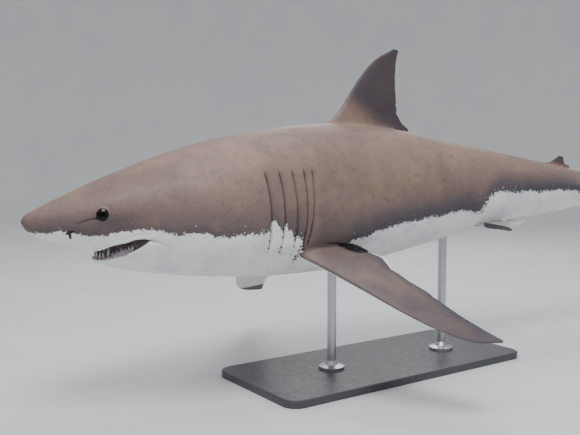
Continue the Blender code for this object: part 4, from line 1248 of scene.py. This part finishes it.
def pectoral_layers(along, out, height):
    """Return shade, ragged, dark and the painted fin shading of a pectoral fin: slate above, darker towards
    the tip with painted shade, and white with a black tip below.
    """
    share = chord_share(PECTORAL_LEAD, PECTORAL_TRAIL, out, along)
    near_root = (out > WHITE_EDGE[0]) & (out < WHITE_EDGE[1])
    rear_edge = np.where(near_root, (1 - share) * 9.0 - 0.42, 2.0)
    tip = ramp(out, *PECTORAL_TIP)
    upper = np.clip(height * 10.0 + 0.5 * (1 - ramp(share, 0.2, 0.5)), -1.6, 2.0)
    shade = np.maximum(np.minimum(upper, rear_edge), -1.6 + 3.2 * tip)
    dark = 0.8 * tip * (1 - ramp(height, -0.1, 0.05))
    return shade, np.where(out > PECTORAL_SHADING[1], 0.4, 0.12), dark, 0.4 * ramp(out, *PECTORAL_SHADING)


def pelvic_layers(along, out, height):
    """Return shade, ragged and dark of a pelvic fin: white, with a dark patch above."""
    reach, t = segment_distance(np.stack([along, out], -1), *PELVIC_PATCH)
    patch = 3.0 * (PELVIC_PATCH_RADIUS * (0.85 + 0.15 * t) - reach)
    return np.where(height > 0, patch, -2.0), 0.25, 0.55 * (height > 0)


def paint_fins(world, parts, s, z, layers):
    """Set the colour numbers on the points of the fins."""
    shade, ragged, dark, fin_shading = (layers[name] for name in ("shade", "ragged", "dark", "fin_shading"))
    on = {name: parts == number for number, name in enumerate(PARTS)}
    for name in ("dorsal", "second_dorsal", "upper_lobe", "lower_lobe"):
        shade[on[name]] = np.maximum(shade[on[name]], SLATE_SHADE)
    for name in ("anal", "clasper_left", "clasper_right"):
        shade[on[name]] = WHITE_SHADE
    # Painted shade on the dorsal fins: on the first, growing towards its rear and top; on the second, over
    # its upper part.
    fin = on["dorsal"]
    fin_shading[fin] = 0.15 + 0.7 * ramp(z[fin] + 0.65 * (s[fin] - 41.0), 8.7, 12.0)
    fin = on["second_dorsal"]
    fin_shading[fin] = 0.75 * ramp(z[fin] - back(s[fin]), 0.1, 0.7)
    for side, hand in SIDES:
        fin = on[f"pectoral_{hand}"]
        rows = fin_rows(world[fin], PECTORAL_ORIGIN, PECTORAL_DROOP, side)
        shade[fin], ragged[fin], dark[fin], fin_shading[fin] = pectoral_layers(*rows.T)
        fin = on[f"pelvic_{hand}"]
        rows = fin_rows(world[fin], PELVIC_ORIGIN, PELVIC_DROOP, side)
        shade[fin], ragged[fin], dark[fin] = pelvic_layers(*rows.T)


def spindle_distance(flat, rows):
    """Return how far (..., 2) points lie outside a bent spindle of (x, y, half width) rows."""
    away = np.full(len(flat), FAR)
    for (ax, ay, ar), (bx, by, br) in zip(rows, rows[1:]):
        reach, t = segment_distance(flat, (ax, ay), (bx, by))
        away = np.minimum(away, reach - ar - (br - ar) * t)
    return away


def axilla_distance(world, parts, s, y, z):
    """Return how far points lie outside the black patches in the pectoral fins' armpits."""
    away = spindle_distance(np.stack([s, z], -1), AXILLA_BODY) + FAR * (parts > 0) + FAR * (np.abs(y) < 3.0)
    for side, hand in SIDES:
        fin = parts == PARTS.index(f"pectoral_{hand}")
        rows = fin_rows(world[fin], PECTORAL_ORIGIN, PECTORAL_DROOP, side)
        away[fin] = spindle_distance(rows[:, :2], AXILLA_FIN) + FAR * (rows[:, 2] < -0.1)
    return away


def gill_shadow(s, y, z, parts):
    """Return the painted shade in the gill slits, and how much of the black speckle round them shows."""
    start = s - gill_lean(s) * np.clip(z, GILL_BOTTOM, GILL_TOP)
    start = s - gill_lean(start) * np.clip(z, GILL_BOTTOM, GILL_TOP)
    fade = 1 - ramp(np.abs((z - GILL_MIDDLE) / GILL_HALF), 0.85, 1.02)
    slit = np.zeros(len(s))
    for base, _ in GILL_SLITS:
        behind = start - base
        slit = np.maximum(slit, ramp(behind, -0.05, 0.0) * (1 - ramp(behind, 0.1, 0.22)) * fade)
    body = (np.abs(y) > 2.5) & (parts == 0)
    near = [bump(start - base + 0.08, 0.22) for base, _ in GILL_SLITS]
    specks = np.maximum.reduce(near) * ramp(-z, 1.0, 2.2) * (1 - ramp(-z, 4.2, 6.2))
    front = bump(s - SPOT_STATION, SPOT_WIDTH) * ramp(-z, 2.6, 4.2) * (1 - ramp(-z, 5.4, 6.6))
    return slit * body, np.maximum(specks, front) * body


# How dark the marks of the skin are; all of them but the lids are painted shade.
SLIT_SHADE = 0.95
LID_DARK = 0.9
NOSTRIL_SHADE = 0.95
CREASE_SHADE = 0.6
BEHIND_EYE_SHADE = 0.28
FURROW_SHADE = 0.5
BEHIND_EYE = ((8.0, -0.05), (1.5, 0.9))    # middle and reach of the painted shade behind each eye


def head_marks(s, y, z, inside):
    """Return how dark the eyes' lids are, and the painted shade in the nostrils, the creases, behind the
    eyes and in the mouth's furrows.
    """
    points = np.stack([s, y, z], -1)
    flat = np.stack([s, z], -1)
    side = np.abs(y)
    eye = in_frame(points, EYE_CENTRE, EYE_AXES)
    lid = 1 - ramp(np.hypot(eye[:, 0], eye[:, 1]), EYE_OPENING, EYE_OPENING + 0.14)
    lid *= np.abs(eye[:, 2]) < 0.7
    nose = in_frame(points, NOSTRIL_CENTRE, NOSTRIL_AXES)
    # Painted shade in the nostrils' grooves.
    hole = (1 - ramp(nostril_distance(nose), 0.0, 0.08)) * ramp(-inside, 0.02, 0.1)
    # Painted shade in the crease in front of each eye.
    away, t = segment_distance(flat, *EYE_CREASE)
    crease = bump(away, 0.1) * (1 - ramp(t, 0.5, 1.0)) * (side > 1.0)
    # Painted shade behind and a little below each eye.
    middle, reach = BEHIND_EYE
    shade_behind_eye = bump(np.linalg.norm((flat - middle) / reach, axis=1), 0.8) * (side > 1.0)
    # Painted shade in the furrow behind each corner of the mouth.
    away, t = segment_distance(flat, MOUTH_CORNER, MOUTH_FURROW_END)
    furrow = bump(away, 0.11) * (1 - t) * (side > 1.5)
    return (LID_DARK * lid, NOSTRIL_SHADE * hole, CREASE_SHADE * crease, BEHIND_EYE_SHADE * shade_behind_eye,
            FURROW_SHADE * furrow)


def paint(skin):
    """Store the numbers that the skin's material needs on its points."""
    mesh = skin.data
    world = mesh_points(mesh)
    parts = point_parts(mesh)
    s, y, z = unplace(world).T
    inside = hull(s, y, z)
    layers = {"shade": z - BOUNDARY(s), "ragged": RAGGED(s), "dark": np.zeros(len(s)), "station": s,
              "height": z, "patch": axilla_distance(world, parts, s, y, z), "fin_shading": np.zeros(len(s))}
    paint_fins(world, parts, s, z, layers)
    around = (s > MOUTH_FRONT) * (s < HEAD_END) * (z > MOUTH_HEIGHTS[0]) * (z < MOUTH_HEIGHTS[1])
    layers["mouth"] = ramp(-inside, 0.08, 0.4) * around
    gum = np.minimum(*(gum_distance(row, s, y, z) for row, _, _ in GUMS))
    row_reach = (s > GUM_FRONT) * (s < MOUTH_REAR)
    layers["gum"] = (1 - ramp(gum, 0.02, 0.12)) * row_reach * ramp(-inside, 0.0, 0.07)
    # Painted shade in the gill slits, weaker on the white skin.
    slit, layers["specks"] = gill_shadow(s, y, z, parts)
    slit *= 0.3 + 0.7 * ramp(layers["shade"], -1.2, 0.2)
    # Painted shade in the crease under the dorsal fin's free tip.
    low, high, lift = FREE_TIP_CREASE
    past = np.maximum(low - s, 0) + np.maximum(s - high, 0)
    layers["crease"] = np.abs(z - back(s) - lift) + 2.0 * past
    # Black marks, with painted shade in the gill slits, nostrils, creases and furrows and behind the eyes.
    marks = (layers["dark"], SLIT_SHADE * slit, *head_marks(s, y, z, inside))
    layers["dark"] = np.maximum.reduce(marks)
    for name, values in layers.items():
        store(skin, name, values)
    mesh.polygons.foreach_set("material_index", [0] * len(mesh.polygons))


# ---------------------------------------------------------------- materials
# Colours, as sRGB values of 0 to 255.
TINTS = {
    "back": (124, 103, 95), "flank": (110, 95, 92), "tan": (145, 120, 102), "umber": (84, 70, 68),
    # Of these, the slate of the lower flanks, the band along the white border and the fins' purple slate
    # are painted shade.
    "low_flank_shade": (60, 60, 73), "border": (60, 58, 68), "fin_shading": (50, 47, 58), "fleck": (70, 58, 57),
    "glint": (150, 128, 114), "belly": (234, 235, 233), "belly_cloud": (212, 217, 219),
    "belly_stain": (194, 195, 192), "pore": (48, 42, 42), "black": (27, 23, 26),
    "palate": (134, 120, 128), "tongue": (158, 143, 150), "gum": (150, 134, 143),
    "gum_shade": (112, 98, 110), "ivory": (184, 181, 177), "tooth_stain": (148, 139, 131),
    "pupil": (3, 3, 4), "iris": (9, 9, 14), "iris_fibre": (22, 19, 21), "iris_rim": (10, 9, 11),
    "paint": (64, 66, 69), "paint_cloud": (54, 56, 59), "dust": (96, 97, 98),
    "steel": (178, 180, 183), "steel_light": (198, 199, 201),
    "floor": (205, 206, 207), "floor_cloud": (200, 201, 203),
}


def tint(name):
    """Return a named colour as linear values."""
    parts = [c / 255 for c in TINTS[name]]
    return [c / 12.92 if c <= 0.04045 else ((c + 0.055) / 1.055) ** 2.4 for c in parts] + [1.0]


class Nodes:
    """A short way to build a material's node tree."""

    def __init__(self, name):
        self.material = bpy.data.materials.new(name)
        self.material.use_nodes = True
        self.tree = self.material.node_tree
        self.shader = self.tree.nodes["Principled BSDF"]
        self.coords = self.add("ShaderNodeTexCoord").outputs["Object"]

    def add(self, kind, **settings):
        """Add a node with some of its properties set."""
        node = self.tree.nodes.new(kind)
        for key, value in settings.items():
            setattr(node, key, value)
        return node

    def put(self, socket, value):
        """Link a socket, or set its value or its named colour."""
        if isinstance(value, bpy.types.NodeSocket):
            self.tree.links.new(value, socket)
        else:
            socket.default_value = tint(value) if isinstance(value, str) else value

    def attribute(self, name):
        """Return a number stored on the mesh."""
        return self.add("ShaderNodeAttribute", attribute_name=name).outputs["Fac"]

    def math(self, operation, a, b):
        """Return what an operation makes of two numbers."""
        node = self.add("ShaderNodeMath", operation=operation)
        self.put(node.inputs[0], a)
        self.put(node.inputs[1], b)
        return node.outputs[0]

    def times(self, a, b):
        """Return the product of two numbers."""
        return self.math('MULTIPLY', a, b)

    def plus(self, a, b):
        """Return the sum of two numbers."""
        return self.math('ADD', a, b)

    def step(self, value, low, high, to_low=0.0, to_high=1.0):
        """Return a smooth step of a number."""
        node = self.add("ShaderNodeMapRange", interpolation_type='SMOOTHSTEP')
        for socket, number in zip(node.inputs, (value, low, high, to_low, to_high)):
            self.put(socket, number)
        return node.outputs[0]

    def noise(self, scale, detail=3.0, rough=0.55, stretch=None):
        """Return a noise value round 0.5, in object space."""
        node = self.add("ShaderNodeTexNoise")
        self.put(node.inputs["Vector"], self.stretched(stretch) if stretch else self.coords)
        self.put(node.inputs["Scale"], scale)
        self.put(node.inputs["Detail"], detail)
        self.put(node.inputs["Roughness"], rough)
        return node.outputs["Fac"]

    def patches(self, scale, low, high, share=1.0, detail=3.0, rough=0.55):
        """Return soft-edged patches of noise, up to a share."""
        return self.step(self.noise(scale, detail, rough), low, high, 0.0, share)

    def cells(self, scale):
        """Return the distance to the nearest point of a random pattern."""
        node = self.add("ShaderNodeTexVoronoi")
        self.put(node.inputs["Vector"], self.coords)
        self.put(node.inputs["Scale"], scale)
        return node.outputs["Distance"]

    def stretched(self, stretch):
        """Return the coordinates, stretched."""
        node = self.add("ShaderNodeMapping")
        self.put(node.inputs["Vector"], self.coords)
        self.put(node.inputs["Scale"], stretch)
        return node.outputs["Vector"]

    def mix(self, share, a, b):
        """Return a mix of two colours."""
        node = self.add("ShaderNodeMix", data_type='RGBA')
        self.put(node.inputs[0], share)
        self.put(node.inputs[6], a)
        self.put(node.inputs[7], b)
        return node.outputs[2]

    def bump(self, height, strength, distance, normal=None):
        """Return a normal bent by a height."""
        node = self.add("ShaderNodeBump")
        self.put(node.inputs["Strength"], strength)
        self.put(node.inputs["Distance"], distance)
        self.put(node.inputs["Height"], height)
        if normal is not None:
            self.put(node.inputs["Normal"], normal)
        return node.outputs["Normal"]

    def finish(self, colour, roughness, normal=None, **numbers):
        """Set the shader's inputs and return the material."""
        self.put(self.shader.inputs["Base Color"], colour)
        self.put(self.shader.inputs["Roughness"], roughness)
        if normal is not None:
            self.put(self.shader.inputs["Normal"], normal)
        for name, number in numbers.items():
            self.shader.inputs[name.replace("_", " ")].default_value = number
        return self.material


def border_mask(n):
    """Return 1 on taupe skin and 0 on white, with a ragged border and specks on both sides."""
    shade = n.attribute("shade")
    ragged = n.attribute("ragged")
    wave = n.times(n.plus(n.noise(14.0, 2.0), -0.5), 1.5)
    fringe = n.times(n.plus(n.noise(95.0, 5.0, 0.68), -0.5), 3.4)
    taupe = n.step(n.plus(shade, n.times(n.plus(wave, fringe), ragged)), -0.07, 0.07)
    below = n.times(n.step(shade, -2.4, -0.5), n.step(ragged, 0.6, 1.3))
    specks = n.times(n.patches(120.0, 0.66, 0.69, rough=0.6), below)
    station = n.attribute("station")
    rear = n.times(n.step(station, 56.5, 58.5), n.step(station, 66.0, 62.0, 0.0, 0.07))
    spots = n.step(n.plus(n.noise(105.0, 2.0, 0.6), rear), 0.70, 0.73)
    pale = n.times(spots, n.step(shade, 1.4, 0.3, 0.0, 0.8))
    return n.times(n.math('MAXIMUM', taupe, specks), n.math('SUBTRACT', 1.0, pale))


def slate_colour(n):
    """Return the mottled taupe of the back, darker lower down, with painted shade on the lower flanks,
    along the white border and on the fins.
    """
    shade = n.attribute("shade")
    slate = n.mix(n.step(n.attribute("height"), -3.5, 5.0), "flank", "back")
    slate = n.mix(n.patches(7.0, 0.44, 0.68, 0.5, 5.0, 0.6), slate, "tan")
    slate = n.mix(n.patches(3.1, 0.48, 0.66, 0.35, 3.0, 0.6), slate, "umber")
    # Painted shade on the lower flanks above the white border, stronger towards the rear.
    low = n.times(n.step(shade, 3.4, 0.3), n.step(n.attribute("station"), 20.0, 44.0, 0.3, 0.85))
    slate = n.mix(low, slate, "low_flank_shade")
    # Painted shade in a narrow band along the white border.
    slate = n.mix(n.step(shade, 1.0, 0.1, 0.0, 0.35), slate, "border")
    # Painted shade on the fins.
    slate = n.mix(n.attribute("fin_shading"), slate, "fin_shading")
    slate = n.mix(n.patches(38.0, 0.5, 0.72, 0.3, 4.0, 0.6), slate, "fleck")
    return n.mix(n.patches(210.0, 0.56, 0.66, 0.1, 2.0), slate, "glint")


def white_colour(n):
    """Return the faintly stained white of the belly."""
    white = n.mix(n.patches(9.0, 0.4, 0.7, 1.0, 4.0, 0.6), "belly", "belly_cloud")
    return n.mix(n.patches(60.0, 0.55, 0.7, 0.35), white, "belly_stain")


def snout_pores(n):
    """Return where the sensory pores of the snout sit."""
    pores = n.times(n.step(n.cells(95.0), 0.22, 0.12), n.step(n.attribute("station"), 6.5, 3.0))
    return n.times(pores, n.patches(16.0, 0.46, 0.56))


def skin_material():
    """Make the shark's skin: taupe above, white below, with a ragged border between them."""
    n = Nodes("shark_skin")
    pores = snout_pores(n)
    colour = n.mix(border_mask(n), white_colour(n), slate_colour(n))
    colour = n.mix(n.times(pores, 0.45), colour, "pore")

    # Black: specks at the gills, the armpit patch, the eyes' lids, the fins' black tips and dark patches,
    # and painted shade in the slits, nostrils, creases and furrows and behind the eyes.
    specks = n.plus(n.noise(95.0, 3.0, 0.6), n.times(n.attribute("specks"), 0.24))
    colour = n.mix(n.step(specks, 0.72, 0.76), colour, "black")
    edge = n.times(n.plus(n.noise(110.0, 3.0), -0.5), 0.35)
    colour = n.mix(n.step(n.plus(n.attribute("patch"), edge), 0.05, -0.05), colour, "black")
    colour = n.mix(n.attribute("dark"), colour, "black")
    # Painted shade in the crease under the dorsal fin's free tip.
    colour = n.mix(n.step(n.attribute("crease"), 0.16, 0.06, 0.0, 0.9), colour, "black")

    mouth = n.attribute("mouth")
    gum = n.attribute("gum")
    colour = n.mix(mouth, colour, n.mix(n.patches(30.0, 0.4, 0.65), "palate", "tongue"))
    colour = n.mix(gum, colour, n.mix(n.patches(55.0, 0.4, 0.65), "gum", "gum_shade"))

    wet = n.times(n.math('MAXIMUM', mouth, gum), 0.22)
    rough = n.step(n.noise(45.0, 4.0, 0.6), 0.3, 0.7, 0.48, 0.62)
    grain = n.bump(n.noise(950.0, 2.0), 0.12, 0.0006)
    folds = n.bump(n.noise(60.0, 4.0, 0.55), 0.16, 0.0022, grain)
    pits = n.bump(n.times(pores, -1.0), 0.5, 0.0015, folds)
    return n.finish(colour, n.math('SUBTRACT', rough, wet), pits,
                    Coat_Weight=0.04, Coat_Roughness=0.3, Specular_IOR_Level=0.3)


def tooth_material():
    """Make ivory teeth with faint stains."""
    n = Nodes("tooth_enamel")
    colour = n.mix(n.patches(180.0, 0.45, 0.7, 0.5), "ivory", "tooth_stain")
    rough = n.step(n.noise(300.0), 0.3, 0.7, 0.18, 0.34)
    return n.finish(colour, rough, n.bump(n.noise(500.0, 2.0), 0.15, 0.0003), Coat_Weight=0.4)


def eye_material():
    """Make the near-black eye: a pupil in a very dark blue-brown iris."""
    n = Nodes("eye_black")
    reach = n.attribute("iris")
    iris = n.mix(n.patches(600.0, 0.35, 0.65, rough=0.6), "iris", "iris_fibre")
    colour = n.mix(n.step(reach, 0.34, 0.40), "pupil", iris)
    colour = n.mix(n.step(reach, 0.66, 0.78), colour, "iris_rim")
    rough = n.step(n.noise(90.0), 0.3, 0.7, 0.04, 0.09)
    return n.finish(colour, rough, Coat_Weight=0.0, Specular_IOR_Level=0.2)


def base_material():
    """Make the stand's satin paint, with a fine orange-peel surface and light wear."""
    n = Nodes("stand_paint")
    colour = n.mix(n.patches(6.0, 0.35, 0.7, detail=4.0), "paint", "paint_cloud")
    colour = n.mix(n.patches(240.0, 0.6, 0.75, 0.25), colour, "dust")
    rough = n.step(n.noise(30.0, 4.0), 0.3, 0.7, 0.36, 0.48)
    return n.finish(colour, rough, n.bump(n.noise(700.0, 2.0), 0.18, 0.0004), Coat_Weight=0.15)


def rod_material():
    """Make brushed steel, brushed round the rod."""
    n = Nodes("stand_steel")
    brush = n.noise(40.0, 3.0, 0.6, (1.0, 1.0, 22.0))
    colour = n.mix(n.step(brush, 0.35, 0.65), "steel", "steel_light")
    rough = n.step(brush, 0.3, 0.7, 0.26, 0.42)
    return n.finish(colour, rough, n.bump(brush, 0.25, 0.0003), Metallic=1.0)


def floor_material():
    """Make the plain pale studio floor."""
    n = Nodes("studio_floor")
    colour = n.mix(n.patches(1.5, 0.4, 0.7), "floor", "floor_cloud")
    return n.finish(colour, n.step(n.noise(20.0), 0.3, 0.7, 0.75, 0.85))


# ---------------------------------------------------------------- studio
FLOOR_RADIUS = 9.0
SWEEP_RADIUS = 4.0
WALL_TOP = 9.0
FLOOR_SIDES = 96
SKY = (0.82, 0.84, 0.87, 1.0)
# Soft square lights: name, place, target, size and power.
LIGHTS = (("key", (-1.9, -2.6, 5.2), (0.0, 0.0, 0.8), 2.2, 260.0),
          ("top", (0.4, 0.4, 5.4), (0.2, 0.0, 0.8), 3.0, 90.0),
          ("rim", (3.0, 3.6, 3.4), (0.3, 0.0, 0.9), 2.4, 60.0))
CAMERA_LENS = 46.55
CAMERA_PLACE = (-2.1676, -2.4671, 0.9226)
CAMERA_TURN = (85.385, -0.01, -34.621)    # degrees


def make_floor():
    """Make the pale floor, which sweeps up into a round wall without a corner."""
    sweep = np.linspace(0.0, math.pi / 2, 13)
    profile = [(r, 0.0) for r in (1.5, 4.0, 6.5)]
    profile += [(FLOOR_RADIUS + SWEEP_RADIUS * math.sin(a), SWEEP_RADIUS * (1 - math.cos(a)))
                for a in sweep]
    profile.append((FLOOR_RADIUS + SWEEP_RADIUS, WALL_TOP))
    angle = 2 * math.pi * np.arange(FLOOR_SIDES) / FLOOR_SIDES
    circle = np.column_stack([np.cos(angle), np.sin(angle), np.zeros(FLOOR_SIDES)])
    points = np.vstack([[(0.0, 0.0, 0.0)]] + [circle * r + (0.0, 0.0, z) for r, z in profile])
    faces = [(0, 1 + k, 1 + (k + 1) % FLOOR_SIDES) for k in range(FLOOR_SIDES)]
    faces += [face[::-1] for face in band_faces(1, len(profile), FLOOR_SIDES)]
    mesh = bpy.data.meshes.new("studio_floor")
    mesh.from_pydata(points.tolist(), [], faces)
    mesh.polygons.foreach_set("use_smooth", [True] * len(faces))
    mesh.materials.append(floor_material())
    new_object("studio_floor", mesh)


def make_light(name, spot, target, size, power):
    """Add a soft square light that points at a target."""
    light = bpy.data.lights.new(name, 'AREA')
    light.shape = 'SQUARE'
    light.size = size
    light.energy = power
    lamp = new_object(name, light)
    lamp.location = spot
    lamp.rotation_euler = (Vector(target) - Vector(spot)).to_track_quat('-Z', 'Y').to_euler()


def make_studio():
    """Light the scene softly and set the camera at the photo's viewpoint."""
    world = bpy.data.worlds.new("studio")
    world.use_nodes = True
    sky = world.node_tree.nodes["Background"]
    sky.inputs["Color"].default_value = SKY
    sky.inputs["Strength"].default_value = 1.0
    bpy.context.scene.world = world
    for light in LIGHTS:
        make_light(*light)
    camera = bpy.data.cameras.new("camera")
    camera.lens = CAMERA_LENS
    camera.sensor_width = 36.0
    camera.clip_start = 0.05
    view = new_object("camera", camera)
    view.location = CAMERA_PLACE
    view.rotation_euler = [math.radians(a) for a in CAMERA_TURN]
    bpy.context.scene.camera = view


# ---------------------------------------------------------------- the model
FLESH = ("head", "lower_jaw", "gill_region", "trunk", "tail_stalk", "first_dorsal_fin",
         "second_dorsal_fin", "anal_fin", "pectoral_fin_left", "pectoral_fin_right", "pelvic_fin_left",
         "pelvic_fin_right", "clasper_left", "clasper_right", "tail_fin_upper_lobe",
         "tail_fin_lower_lobe")


def give(obj, material):
    """Give a piece or a solid of the stand one material."""
    obj.data.materials.clear()
    obj.data.materials.append(material)


def build():
    """Make every piece."""
    skin = make_skin()
    paint(skin)
    give(skin, skin_material())
    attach(skin, "root")
    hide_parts(*FLESH)
    enamel = tooth_material()
    give(make_teeth("teeth_upper", UPPER_ROW, 11), enamel)
    give(make_teeth("teeth_lower", LOWER_ROW, 12), enamel)
    glossy = eye_material()
    for side, hand in SIDES:
        give(make_eyeball(side, hand), glossy)
    give(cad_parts["stand_base"], base_material())
    steel = rod_material()
    for end in ("front", "rear"):
        give(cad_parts[f"stand_rod_{end}"], steel)
    make_floor()
    make_studio()


build()
